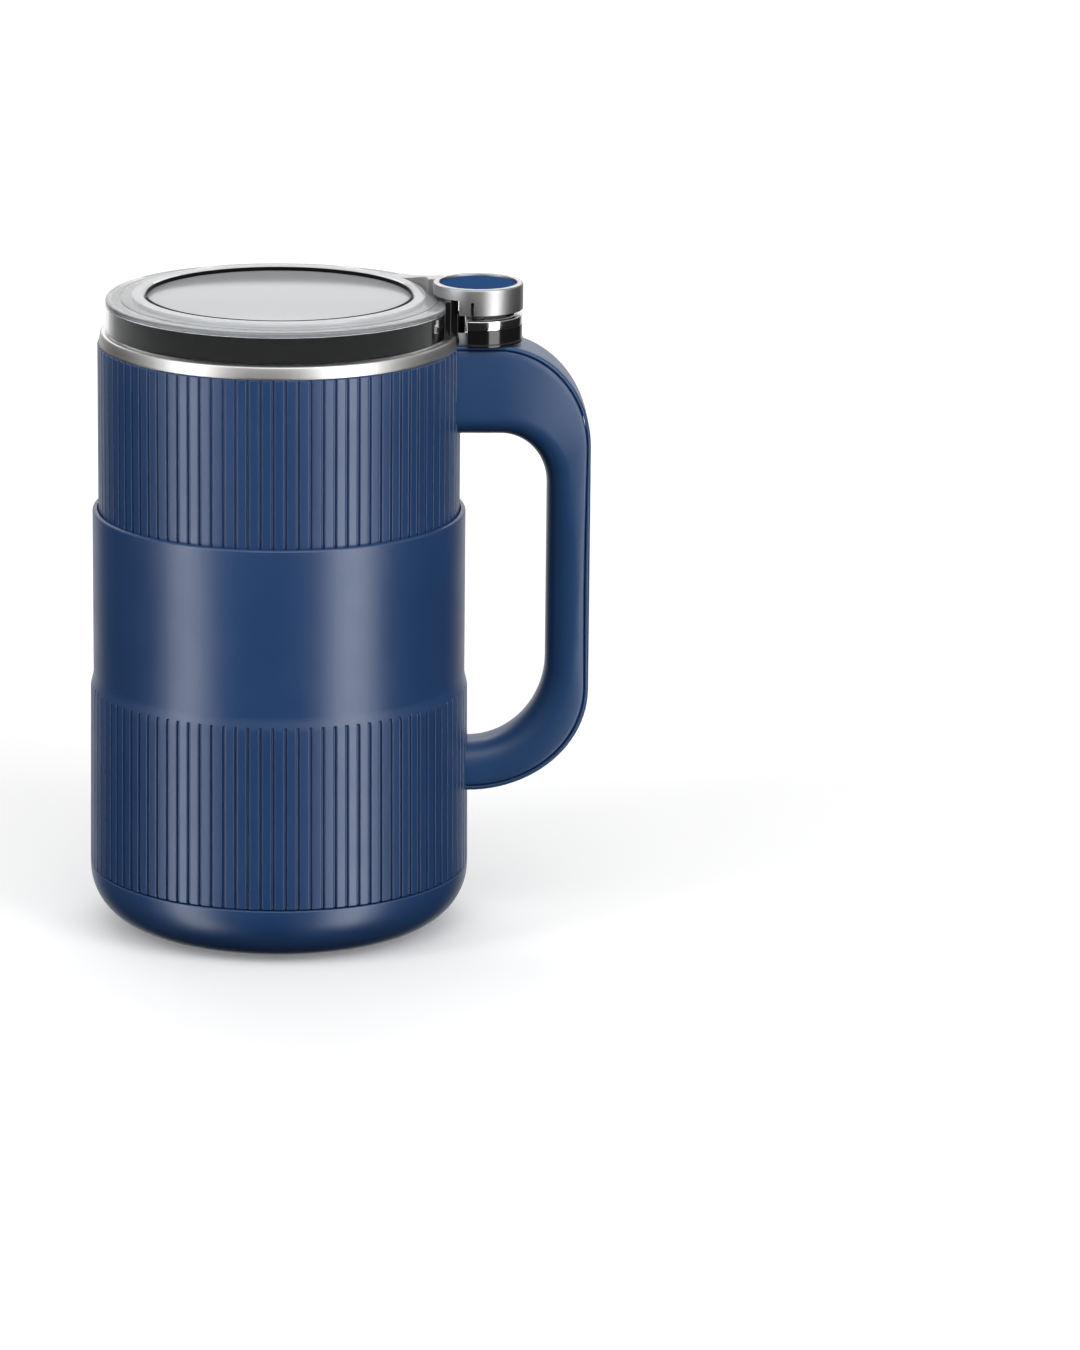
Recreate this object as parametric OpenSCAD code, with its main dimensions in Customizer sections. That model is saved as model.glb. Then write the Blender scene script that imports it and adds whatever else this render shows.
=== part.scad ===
// Electric grain mill. Two fluted plastic housings stand one on the other: the upper
// one holds a steel grinding cup, the lower one a universal motor. A clear lid lifts
// straight off, and its ear reaches over a post on the handle to hold the run button.
// Origin: body axis on the table. +Z up, the handle points to +X. Millimetres.

/* [Housing] */
// Outer diameter over the upper flutes
upper_d = 122.2; // [118:0.2:128]
// How far the waist stands out from the upper flutes
waist_step = 1.9; // [1.7:0.1:2.5]
// How far the lower ribs stand out from the waist
rib_step = 1.5; // [1:0.1:2.2]
// Height of the rounded base cover above the table
base_h = 21; // [19:0.5:25]
// Corner radius of the base cover
base_corner_r = 19; // [14:0.5:20]
// Height of the ribbed stretch of the lower housing
ribbed_h = 62.5; // [58:0.5:66]
// Height of the shoulder where the ribs run out
shoulder_h = 2.5; // [2:0.5:6]
// Height of the smooth waist
waist_h = 58.7; // [56:0.1:66]
// Height of the upper flutes
upper_h = 56.8; // [54:0.2:64]
// Wall of the housings and the base cover
housing_wall = 2.4; // [2:0.1:2.8]

/* [Flutes] */
// Number of grooves round the upper housing
upper_flutes = 92; // [60:2:100]
// Number of grooves round the lower housing
lower_flutes = 96; // [60:2:104]
// Width of a groove at its mouth
flute_w = 1.3; // [0.9:0.1:1.6]
// Depth of the upper grooves
upper_flute_depth = 0.7; // [0.4:0.1:0.9]
// Depth of the lower grooves
lower_flute_depth = 1; // [0.5:0.1:1.2]

/* [Grinding cup] */
// Sheet thickness of the steel cup
cup_wall = 0.9; // [0.7:0.1:1.2]
// Air gap between the cup and the upper housing
cup_air_gap = 3.1; // [2.8:0.1:3.6]
// Corner radius inside the cup
cup_corner_r = 11; // [8:0.5:14]
// Thickness of the gasket under the cup's rim
gasket_t = 2.5; // [1.5:0.1:3]
// Sheet thickness of the rim ring
rim_t = 1; // [0.8:0.1:1.4]
// Radius of the three screws' circle in the cup's floor
cup_screw_ring_r = 30; // [26:0.5:34]

/* [Lid] */
// Height of the lid above the rim ring
lid_h = 11.1; // [10.5:0.1:13]
// Wall of the clear lid
lid_wall = 1.7; // [1.4:0.1:2.2]
// Step from the rim ring's top edge in to the lid's wall
lid_inset = 1.6; // [1:0.1:2.2]
// Outer radius of the raised bezel
bezel_r = 49.4; // [47:0.2:51]
// Width of the raised bezel
bezel_w = 4.6; // [3.5:0.1:6]
// Height of the bezel above the lid
bezel_h = 1.3; // [0.8:0.1:1.4]
// How deep the seal's plug reaches into the cup
seal_plug_h = 6; // [4:0.5:9]

/* [Handle] */
// Width of the handle's top arm
handle_w = 29; // [27:0.5:32]
// Width of the grip
grip_w = 22; // [20:0.5:28]
// Width of the lower arm
low_w = 22; // [20:0.5:27]
// Finger gap between the waist and the grip
finger_gap = 27.5; // [25:0.5:36]
// Thickness of the grip
grip_t = 14.5; // [14:0.5:18]
// Thickness of the top arm
top_arm_t = 31.5; // [28:0.5:34]
// Thickness of the lower arm
low_arm_t = 16.5; // [15:0.5:20]
// Height of the handle, from the lower arm's underside to the top
handle_h = 155.2; // [151.2:0.5:161.2]
// Thickness of the outer cover strip
cover_t = 1.6; // [1.4:0.1:2.2]
// Wall of the hollow handle frame
handle_wall = 2.4; // [2:0.1:3]

/* [Button] */
// Distance of the button's centre from the body axis
button_x = 66.8; // [66:0.2:69]
// Outer radius of the ear ring
ear_r = 15.2; // [14.6:0.1:16]
// Wall of the ear ring
ear_wall = 2.1; // [1.6:0.1:2.4]
// Height of the ear ring's top above the lid
ear_rise = 5.5; // [5.2:0.1:6.5]
// Travel of the button
button_travel = 2.5; // [1.5:0.1:2.5]
// Height of the post's dark foot
post_foot_h = 5.7; // [5:0.1:6.4]
// Height of the bright post ring
post_ring_h = 3.3; // [2.5:0.1:3.3]

/* [Motor] */
// Radius of the motor shaft
shaft_r = 4; // [3.5:0.1:4.2]
// Width across the stator's flats
stator_w = 60; // [58:0.5:62]
// Height of the lamination stacks
stack_h = 30; // [26:0.5:31]
// Radius of the armature
armature_r = 20.5; // [19:0.1:20.6]
// Radius of the commutator
commutator_r = 11; // [9.5:0.1:11.5]
// Radius of the cooling fan
fan_r = 28; // [24:0.5:32]
// Number of fan blades
fan_blades = 12; // [7:1:16]

/* [Blades] */
// Reach of the lower blade from the axis
lower_blade_r = 44; // [36:0.5:48]
// Reach of the upper blade from the axis
upper_blade_r = 40; // [32:0.5:46]
// Width of a blade
blade_w = 13; // [12:0.5:16]
// Thickness of a blade
blade_t = 1.8; // [1.2:0.1:2.4]
// Angle by which the lower blade's tips turn up
lower_tip_angle = 12; // [4:1:20]
// Angle by which the upper blade's tips turn up
upper_tip_angle = 35; // [15:1:45]

/* [Fits] */
// Radial running clearance of shafts, pins and races
running_fit = 0.05; // [0.02:0.01:0.09]
// Clearance between loose pieces
loose_fit = 0.3; // [0.2:0.05:0.4]
// Clearance between pieces that are pushed together
snug_fit = 0.1; // [0.05:0.01:0.15]

/* [Hidden] */
$fn = 96;
eps = 0.5; // how far a cut runs past the face that it opens

blue = "#2e4a78";
black = "#1b1c1e";
steel = "#b9bcc0";
silver = "#a9abae";
copper = "#b4643a";
brass = "#c2a052";
iron = "#70757a";
clear = [0.82, 0.84, 0.87, 0.5];

// Radii of the housings, from the upper flutes outwards and inwards
upper_r = upper_d / 2;
waist_r = upper_r + waist_step;
lower_r = waist_r + rib_step;
upper_bore_r = upper_r - upper_flute_depth - housing_wall;
lower_bore_r = waist_r - housing_wall;
groove_floor_w = flute_w * 0.7;
shoulder_w = rib_step + 0.05; // the shoulder just covers the ends of the lands
lip_r = 0.9; // rounding of the waist's upper lip

// Heights, stacked up from the table
foot_proud = 1;
foot_seat = 1.6;
z_floor = foot_proud + housing_wall;
z_base = base_h;
z_ribs = z_base + ribbed_h;
z_waist = z_ribs + shoulder_h;
z_split = z_waist + waist_h;
z_rim = z_split + upper_h;
z_flange = z_rim + gasket_t;
z_rim_top = z_flange + cup_wall + rim_t;
z_lid = z_rim_top + lid_h;
seam_gap = 0.3;
base_arc_r = min(base_corner_r, base_h - foot_proud - 1);

// The joint between the housings and the plate that it clamps
socket_depth = 4.7;
spigot_len = 14;
plate_t = 4;
ledge_t = 3;
ledge_w = 5.6;
z_socket = z_split - socket_depth;
z_plate = z_socket - spigot_len;
spigot_r = lower_bore_r - loose_fit;

// Base cover and what stands on its floor
base_spigot_h = 5;
base_spigot_t = 2;
foot_r_in = 36.5;
foot_w = 6;
vent_count = 24;
vent_w = 2.2;
vent_l = 8;
vent_r = 30;
base_screw_ring_r = 48;
base_screw_angles = [30, 150, 270];
boss_r = 4.2;
housing_boss_h = 20;
screw_r = 1.5;
screw_head_r = 3.2;
screw_head_h = 2.4;
low_head_h = 1.8; // head of the cup's and the handle's screws
top_screw_l = 14;
low_screw_l = 10;
root_hole_l = 16; // depth of the holes in the handle's roots
wall_hole_l = 10; // length of a hole through a housing's wall
base_screw_sink = 5.5;

// Grinding cup and rim
cup_r = upper_bore_r - cup_air_gap - cup_wall;
cup_stand = 4.1;
cup_screw_angles = [45, 165, 285]; // between the motor's mount screws
z_cup = z_plate + cup_stand + cup_wall; // inside floor of the cup
hub_r = 8;
hub_h = 6;
seal_r = hub_r - cup_wall - snug_fit;
cup_flange_r = upper_bore_r + 0.3;
rim_inset = 0.5;
rim_taper = 0.6;
rim_r = upper_r - rim_inset;
rim_top_r = rim_r - rim_taper;
rim_lip_r = cup_r + 0.6;
gasket_w = 2.6;

// Lid
lid_r = rim_top_r - lid_inset;
lid_gap = 0.4;
lid_top_t = 2;
lid_edge_r = 0.8;
bezel_in_r = bezel_r - bezel_w;
window_t = 1.6;
window_r = bezel_in_r + 1.4;
window_ledge_w = 2.2;
notch_x = lid_r - 3;
notch_half_y = 18.5;
seal_band_t = 1.5;
seal_r_out = lid_r - lid_wall - snug_fit;
seal_plug_r = cup_r - loose_fit;
seal_plug_w = 3.2;
seal_flange_t = 1.8;
seal_notch_x = notch_x - 0.8;

// Ear, button and post, stacked down from the ear's top
z_ear = z_lid + ear_rise;
ear_bore_r = ear_r - ear_wall;
ear_skirt_h = 9;
z_skirt = z_ear - ear_skirt_h;
z_ear_clear = z_lid + 1.5; // underside of the ear over the lid
ear_clear_r = rim_r + 1;
cap_t = 1.6;
cap_sink = 0.5;
cap_r = ear_bore_r - loose_fit;
z_cap = z_ear - cap_sink;
ear_floor_t = 1.2;
z_ear_floor = z_cap - cap_t - 3.6; // top of the ear's floor
stem_r = 3;
clip_r = 5;
clip_t = 0.8;
z_clip = z_ear_floor - ear_floor_t - loose_fit;
z_stem = z_clip - clip_t - 0.6;
spring_r = 5;
spring_wire = 0.5;
bracket_t = 2;
bracket_rib_w = 1.2;
bracket_rib_pitch = 2.7;
bracket_ribs = 9;
ramp_angle_near = 4;
ramp_angle_mid = 24;
ramp_angle_far = 43;
ramp_r = bezel_r + 0.9;
ramp_w = lid_r - lid_edge_r - ramp_r;
ramp_edge = 0.3; // height of the ramp's far end

handle_rise = 1.2;
z_handle = z_rim + handle_rise;
post_r = 15;
post_inner_r = 12.2;
post_clear_r = rim_r + 0.7;
post_face_x = button_x - 3.9; // the post's flat side, towards the lid
post_roof_t = 1.2;
z_post = z_handle + post_foot_h;
z_post_top = z_post + post_ring_h;
post_plate_t = 1.5;
pin_r = 2;
pin_head_r = 3;
pin_tip_r = 1.2;
pin_tip_h = 4;
z_pin = z_stem - loose_fit;
z_switch = z_handle - cover_t - 3; // top of the micro switch
switch_h = 10;
switch_l = 12.8;
switch_w = 6.4;
switch_x0 = button_x - 1.9;

// Handle outline
z_under = z_handle - top_arm_t;
z_low_out = z_handle - handle_h;
z_low_in = z_low_out + low_arm_t;
x_grip_in = waist_r + finger_gap;
x_grip_out = x_grip_in + grip_t;
x_root = upper_r - 4; // the sweep starts inside the housing and is trimmed to it
in_rx = 16;
in_rz = 18;
out_rx = 32;
out_rz = 35.5;
low_in_rx = x_grip_in - lower_r;
low_in_rz = 28.7;
low_out_rx = x_grip_out - lower_r;
low_out_rz = 35.5;
top_round = 8.5;
grip_round = 11.5;
low_round = 9;
cover_edge_r = 1;
cover_tongue = 2.2;
seam_w = 0.5;
channel_start = 0.33;
channel_end = 3.86;
stations = concat(
    [0, 0.5],
    [for (i = [0:8]) 1 + i / 8],
    [2.5],
    [for (i = [0:10]) 3 + i / 10],
    [5]
);
z_top_screw = z_under + 7.5;
z_low_screw = z_low_in - low_arm_t / 2;
shelf_h = z_switch - switch_h - z_under;
lead_r = 1.3;
lead_hole_r = lead_r + 0.7;
lead_y = lead_r + loose_fit * 2 + handle_wall - min(grip_w, low_w) / 2;

// Motor, hung under the plate
damper_t = 3;
stator_corner = 7.5; // how far the stator's corners reach past its flats
bolt_edge = 3.5; // from a corner of the stator to a bolt's centre
bolt_ring_r = stator_w / 2 + stator_corner - bolt_edge;
bolt_pos = bolt_ring_r / sqrt(2);
leg_r = 4.2;
bracket_edge = 4; // from a bolt's centre to the bracket disc's edge
bracket_disc_r = bolt_ring_r + bracket_edge;
bracket_disc_t = 4;
bracket_hole_r = 4.5;
bracket_hole_ring_r = 22;
bearing_r = 11;
bearing_h = 7;
bearing_race_t = 2.3;
bearing_shelf = 1.2;
bearing_boss_r = 13.5;
inner_race_t = 2.2;
bolt_r = 2;
bolt_head_r = 3.6;
bolt_head_h = 3;
mount_ring_r = 31;
z_top_bracket = z_plate - plate_t - damper_t;
upper_space = 11;
lower_space = 26;
z_stack_top = z_top_bracket - bracket_disc_t - upper_space;
z_stack = z_stack_top - stack_h;
z_low_bracket = z_stack - lower_space;
air_gap = 0.7;
bore_r = armature_r + air_gap;
slot_half_angle = 33; // half the angle that a coil slot spans
coil_r_in = bore_r + 0.8;
coil_gap = 1.6; // between a coil's end and the bracket's legs
coil_t = bolt_ring_r - leg_r - coil_gap - coil_r_in;
coil_end_h = 7;
coil_slot_t = coil_t - 1.6;
winding_r = armature_r - 2;
winding_end_h = 5;
low_winding_end_h = 6.5;
commutator_h = 14;
z_commutator = z_low_bracket + 4;
commutator_bars = 24;
holder_x0 = commutator_r + 3;
holder_l = 16;
holder_w = 10;
holder_h = 10;
holder_t = 1;
z_holder = z_commutator + 2;
brush_len = 9.7;
fan_h = 7;
fan_disc_t = 1.2;
fan_hub_r = 7;
z_fan = z_low_bracket - bearing_h - bearing_shelf - 1.8;
z_shaft = z_fan - fan_h - 1;
ball_r = (bearing_r - bearing_race_t - shaft_r - inner_race_t) / 2 - running_fit;
ball_ring_r = (bearing_r - bearing_race_t + shaft_r + inner_race_t) / 2;
ball_count = 7;

// Blades on the shaft
spacer_r = 7;
lower_spacer_h = 10;
mid_spacer_h = 4;
washer_t = 1.2;
nut_h = 6;
nut_af_r = 6.9;
tip_start = 20;
tip_cut_l = 7; // length of the slanted cut at a tip
tip_edge_w = 4; // what the cut leaves of the tip's end
z_lower_blade = z_cup + lower_spacer_h;
z_upper_blade = z_lower_blade + blade_t + mid_spacer_h;
z_washer = z_upper_blade + blade_t;
z_nut = z_washer + washer_t;
z_shaft_top = z_nut + nut_h + 1;

// Electronics on the base cover's floor, and the mains inlet
board_l = 44;
board_w = 34;
board_t = 1.6;
standoff_h = 6.6;
standoff_r = 3;
standoff_x = 18;
standoff_y = 13;
z_board = z_floor + standoff_h;
z_board_top = z_board + board_t;
capacitor_size = [18, 10, 12];
z_inlet = z_base + 15;
inlet_l = 22;
inlet_h = 12;
inlet_depth = 16.5;
inlet_flange_l = 27;
inlet_flange_h = 16;
inlet_flange_t = 2.6;
inlet_proud = 0.6;
y_inlet_face = lower_r + inlet_proud;
y_inlet_seat = y_inlet_face - inlet_flange_t;
socket_l = 18.2;
socket_h = 8.6;
socket_depth_in = 12.5;
pin_pitch = 8.6;
inlet_pin_r = 1.2;
inlet_pin_l = 9;
pin_tail = 4; // how far a pin stands out behind the socket's body

// ---- helpers ----

function mix(a, b, t) = a + (b - a) * t;
function polar(r, a) = [r * cos(a), r * sin(a)];
function unit(v) = v / norm(v);

// Points of an arc about a centre, in the plane of a profile
function arc(c, r, a0, a1, n) = [for (i = [0:n]) c + polar(r, mix(a0, a1, i / n))];

// Outline of a fluted tube: flat lands between narrow grooves
function fluted(r, depth, count) = [
    for (i = [0:count - 1])
        let (
            a = 360 * i / count,
            b = 360 * (i + 1) / count,
            mouth = asin(flute_w / 2 / r),
            foot = asin(groove_floor_w / 2 / (r - depth))
        )
        each [
            polar(r, a + mouth),
            polar(r, b - mouth),
            polar(r - depth, b - foot),
            polar(r - depth, b + foot)
        ]
];

// A solid through a list of rings, each ring a closed loop of as many points
module swept(rings) {
    n = len(rings[0]);
    m = len(rings);
    sides = [
        for (k = [0:m - 2])
            for (i = [0:n - 1])
                let (j = (i + 1) % n)
                [k * n + i, k * n + j, (k + 1) * n + j, (k + 1) * n + i]
    ];
    caps = [[for (i = [n - 1:-1:0]) i], [for (i = [0:n - 1]) (m - 1) * n + i]];
    polyhedron(points = [for (r = rings) each r], faces = concat(sides, caps));
}

// Rings of a round wire that follows a path; the path never runs along ref
function wire_rings(path, r, sides, ref) = [
    for (i = [0:len(path) - 1])
        let (
            t = unit(path[min(i + 1, len(path) - 1)] - path[max(i - 1, 0)]),
            u = unit(cross(ref, t)),
            v = cross(t, u)
        )
        [for (k = [0:sides - 1]) let (a = -360 * k / sides) path[i] + r * (cos(a) * u + sin(a) * v)]
];

// Points of a helix about +Z
function helix(r, h, turns, per_turn) = [
    for (i = [0:turns * per_turn])
        [r * cos(360 * i / per_turn), r * sin(360 * i / per_turn), h * i / (turns * per_turn)]
];

// A smooth curve through hand-set points, with n steps between two of them
function spline(p, n) = [
    for (i = [0:len(p) - 2])
        for (k = [0:(i == len(p) - 2 ? n : n - 1)])
            let (
                t = k / n,
                a = p[max(i - 1, 0)],
                b = p[i],
                c = p[i + 1],
                d = p[min(i + 2, len(p) - 1)]
            )
            0.5 * (2 * b + (c - a) * t + (2 * a - 5 * b + 4 * c - d) * t * t
                + (3 * b - a - 3 * c + d) * t * t * t)
];

module tube(r_out, r_in, h) {
    difference() {
        cylinder(r = r_out, h = h);
        translate([0, 0, -eps]) cylinder(r = r_in, h = h + 2 * eps);
    }
}

// A screw that points up, its head's underside at the origin
module screw(r, l, head_r, head_h) {
    difference() {
        translate([0, 0, -head_h]) cylinder(r = head_r, h = head_h);
        translate([0, 0, -head_h - eps]) cylinder(r = head_r * 0.45, h = head_h / 2 + eps, $fn = 6);
    }
    cylinder(r = r, h = l);
}

module at_base_screws() {
    for (a = base_screw_angles)
        rotate(a) translate([base_screw_ring_r, 0, 0]) children();
}

module at_cup_screws() {
    for (a = cup_screw_angles)
        rotate(a) translate([cup_screw_ring_r, 0, 0]) children();
}

module at_bolts() {
    for (sx = [-1, 1])
        for (sy = [-1, 1])
            translate([sx * bolt_pos, sy * bolt_pos, 0]) children();
}

module at_mounts() {
    for (a = [0:90:270])
        rotate(a) translate([mount_ring_r, 0, 0]) children();
}

// ---- base ----

module foot_ring() {
    color(black)
    tube(foot_r_in + foot_w, foot_r_in, foot_proud + foot_seat);
}

module base_profile() {
    c = [lower_r - base_arc_r, foot_proud + base_arc_r];
    inner_r = base_arc_r - housing_wall;
    spigot_out = lower_bore_r - snug_fit;
    spigot_in = spigot_out - base_spigot_t;
    inner_wall = lower_r - housing_wall;
    polygon(concat(
        [[0, foot_proud]],
        arc(c, base_arc_r, -90, 0, 10),
        [
            [lower_r, z_base - seam_gap],
            [lower_r - seam_gap * 2, z_base],
            [spigot_out, z_base],
            [spigot_out, z_base + base_spigot_h],
            [spigot_in, z_base + base_spigot_h],
            [spigot_in, z_base - 2],
            [inner_wall, z_base - 3.5]
        ],
        arc(c, inner_r, 0, -90, 8),
        [[0, z_floor]]
    ));
}

module base_cover() {
    color(blue)
    difference() {
        union() {
            rotate_extrude() base_profile();
            at_base_screws()
                translate([0, 0, z_floor]) cylinder(r = boss_r, h = z_base + base_spigot_h - z_floor);
            for (sx = [-1, 1])
                for (sy = [-1, 1])
                    translate([sx * standoff_x, sy * standoff_y, foot_proud + 1])
                        cylinder(r = standoff_r, h = z_board - foot_proud - 1);
        }
        translate([0, 0, foot_proud - eps])
            tube(foot_r_in + foot_w + snug_fit, foot_r_in - snug_fit, foot_seat + eps);
        at_base_screws() {
            cylinder(r = screw_head_r + loose_fit, h = base_screw_sink + screw_head_h);
            cylinder(r = screw_r + snug_fit, h = z_base + base_spigot_h + eps);
        }
        for (i = [0:vent_count - 1])
            rotate(360 * i / vent_count)
                translate([vent_r - vent_l / 2, -vent_w / 2, 0]) cube([vent_l, vent_w, z_floor + eps]);
    }
}

module base_screws() {
    length = z_base + base_spigot_h + housing_boss_h * 0.7 - base_screw_sink - screw_head_h;
    color(iron)
    at_base_screws()
        translate([0, 0, base_screw_sink + screw_head_h]) screw(screw_r, length, screw_head_r, screw_head_h);
}

// ---- housings ----

module shoulder_profile() {
    polygon(concat(
        [[lower_bore_r - eps, z_ribs]],
        [
            for (i = [0:5])
                let (a = 90 * i / 5)
                [waist_r + shoulder_w * cos(a), z_ribs + shoulder_h * sin(a)]
        ],
        [[waist_r, z_split - lip_r]],
        arc([waist_r - lip_r, z_split - lip_r], lip_r, 15, 90, 4),
        [[lower_bore_r - eps, z_split]]
    ));
}

module lower_housing() {
    z_bottom = z_base + seam_gap;
    z_boss = z_base + base_spigot_h;
    color(blue)
    difference() {
        union() {
            difference() {
                union() {
                    translate([0, 0, z_bottom]) linear_extrude(z_ribs - z_bottom)
                        polygon(fluted(lower_r, lower_flute_depth, lower_flutes));
                    rotate_extrude() shoulder_profile();
                }
                translate([0, 0, z_base - eps]) cylinder(r = lower_bore_r, h = z_split - z_base + 2 * eps);
                translate([0, 0, z_socket])
                    cylinder(r = upper_r + loose_fit, h = socket_depth + eps);
            }
            translate([0, 0, z_plate - plate_t - ledge_t])
                tube(lower_bore_r + 1, lower_bore_r - ledge_w, ledge_t);
            at_base_screws() {
                translate([0, 0, z_boss]) cylinder(r = boss_r, h = housing_boss_h);
                translate([boss_r / 2, -1.5, z_boss + seam_gap])
                    cube([lower_bore_r + 1 - base_screw_ring_r - boss_r / 2, 3, housing_boss_h - seam_gap]);
            }
        }
        at_base_screws()
            translate([0, 0, z_boss - eps]) cylinder(r = screw_r + running_fit, h = housing_boss_h + eps - 2);
        // seat and window of the mains inlet
        translate([-inlet_flange_l / 2 - snug_fit, y_inlet_seat, z_inlet - inlet_flange_h / 2 - snug_fit])
            cube([inlet_flange_l + 2 * snug_fit, 20, inlet_flange_h + 2 * snug_fit]);
        translate([-inlet_l / 2 - snug_fit, lower_bore_r - 12, z_inlet - inlet_h / 2 - snug_fit])
            cube([inlet_l + 2 * snug_fit, 20, inlet_h + 2 * snug_fit]);
        // holes for the handle's lower screw and its leads
        translate([lower_bore_r - 4, 0, z_low_screw])
            rotate([0, 90, 0]) cylinder(r = screw_r + snug_fit, h = wall_hole_l);
        translate([lower_bore_r - 4, lead_y, z_low_screw])
            rotate([0, 90, 0]) cylinder(r = lead_hole_r, h = wall_hole_l);
    }
}

module upper_housing() {
    color(blue)
    difference() {
        union() {
            translate([0, 0, z_socket])
                linear_extrude(z_rim - z_socket) polygon(fluted(upper_r, upper_flute_depth, upper_flutes));
            translate([0, 0, z_plate]) cylinder(r = spigot_r, h = spigot_len + 1);
        }
        translate([0, 0, z_plate - eps]) cylinder(r = upper_bore_r, h = z_rim - z_plate + 2 * eps);
        translate([upper_bore_r - 4, 0, z_top_screw])
            rotate([0, 90, 0]) cylinder(r = screw_r + snug_fit, h = wall_hole_l);
    }
}

// ---- cup and rim ----

module rim_ring() {
    skirt_in = upper_bore_r + 0.8;
    color(steel)
    rotate_extrude() polygon([
        [skirt_in, z_rim],
        [rim_r, z_rim],
        [rim_r, z_rim + 0.6],
        [rim_top_r, z_rim_top - 0.5],
        [rim_top_r - 0.5, z_rim_top],
        [rim_lip_r, z_rim_top],
        [rim_lip_r, z_rim_top - rim_t],
        [skirt_in, z_rim_top - rim_t]
    ]);
}

module cup_profile() {
    c_in = [cup_r - cup_corner_r, z_cup + cup_corner_r];
    z_out = z_cup - cup_wall;
    z_top = z_flange + cup_wall;
    polygon(concat(
        [[hub_r - cup_wall, z_out], [hub_r - cup_wall, z_cup + hub_h]],
        [[hub_r, z_cup + hub_h], [hub_r, z_cup]],
        arc(c_in, cup_corner_r, -90, 0, 8),
        [
            [cup_r, z_top],
            [cup_flange_r, z_top],
            [cup_flange_r, z_flange],
            [cup_r + cup_wall, z_flange]
        ],
        arc(c_in, cup_corner_r + cup_wall, 0, -90, 8)
    ));
}

module grinding_cup() {
    color(steel)
    difference() {
        rotate_extrude() cup_profile();
        at_cup_screws()
            translate([0, 0, z_cup - cup_wall - eps])
                cylinder(r = screw_r + snug_fit, h = cup_wall + 2 * eps);
    }
}

module cup_gasket() {
    color(black)
    translate([0, 0, z_rim])
        tube(upper_bore_r + 0.5, upper_bore_r + 0.5 - gasket_w, gasket_t);
}

module cup_screws() {
    color(steel)
    at_cup_screws()
        translate([0, 0, z_cup]) rotate([180, 0, 0])
            screw(screw_r, cup_stand + plate_t, screw_head_r, low_head_h);
}

module shaft_seal() {
    color(black)
    translate([0, 0, z_cup - cup_wall])
        tube(seal_r, shaft_r + running_fit, hub_h + cup_wall);
}

module motor_plate() {
    hole_r = 9;
    color(black)
    difference() {
        union() {
            translate([0, 0, z_plate - plate_t]) cylinder(r = spigot_r - snug_fit, h = plate_t);
            at_cup_screws() translate([0, 0, z_plate - 1]) cylinder(r = boss_r, h = cup_stand + 1);
        }
        translate([0, 0, z_plate - plate_t - eps]) cylinder(r = hole_r, h = plate_t + 2 * eps);
        at_cup_screws()
            translate([0, 0, z_plate - plate_t - eps])
                cylinder(r = screw_r + running_fit, h = plate_t + cup_stand + 2 * eps);
        at_mounts()
            translate([0, 0, z_plate - plate_t - eps])
                cylinder(r = screw_r + running_fit, h = plate_t + 2 * eps);
    }
}

// ---- motor, fixed pieces ----

module motor_dampers() {
    color(black)
    at_mounts()
        translate([0, 0, z_top_bracket]) tube(5, screw_r + snug_fit, damper_t);
}

module motor_mount_screws() {
    color(iron)
    at_mounts()
        translate([0, 0, z_top_bracket - bracket_disc_t])
            screw(screw_r, bracket_disc_t + damper_t + plate_t, screw_head_r, screw_head_h);
}

// A disc with a bearing seat in its middle, open arms and four legs; its top is at z = 0
module bearing_bracket(leg_z0, leg_h) {
    boss_h = bearing_h + bearing_shelf;
    difference() {
        union() {
            translate([0, 0, -bracket_disc_t]) cylinder(r = bracket_disc_r, h = bracket_disc_t);
            translate([0, 0, -boss_h]) cylinder(r = bearing_boss_r, h = boss_h);
            at_bolts() translate([0, 0, leg_z0]) cylinder(r = leg_r, h = leg_h);
        }
        translate([0, 0, -bearing_h]) cylinder(r = bearing_r, h = bearing_h + eps);
        translate([0, 0, -boss_h - eps]) cylinder(r = bearing_r - bearing_race_t, h = boss_h + 2 * eps);
        at_bolts()
            translate([0, 0, min(leg_z0, -bracket_disc_t) - eps])
                cylinder(r = bolt_r + snug_fit, h = leg_h + bracket_disc_t + 2 * eps);
        for (a = [22.5:45:360])
            rotate(a) translate([bracket_hole_ring_r, 0, -bracket_disc_t - eps])
                cylinder(r = bracket_hole_r, h = bracket_disc_t + 2 * eps);
    }
}

module motor_bracket_top() {
    color(silver)
    translate([0, 0, z_top_bracket])
        difference() {
            bearing_bracket(-bracket_disc_t - upper_space, upper_space + bracket_disc_t / 2);
            at_mounts()
                translate([0, 0, -bracket_disc_t - eps])
                    cylinder(r = screw_r + snug_fit, h = bracket_disc_t + 2 * eps);
        }
}

module motor_bracket_bottom() {
    pad_h = z_holder - z_low_bracket;
    color(silver)
    union() {
        translate([0, 0, z_low_bracket])
            bearing_bracket(-bracket_disc_t / 2, lower_space + bracket_disc_t / 2);
        for (s = [0, 180])
            rotate(s) translate([holder_x0 + 1, -holder_w / 2, z_low_bracket - 1])
                cube([holder_l - 3, holder_w, pad_h + 1]);
    }
}

module motor_bolts() {
    z_head = z_low_bracket - bracket_disc_t;
    color(iron)
    at_bolts()
        translate([0, 0, z_head]) screw(bolt_r, z_top_bracket - z_head, bolt_head_r, bolt_head_h);
}

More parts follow.
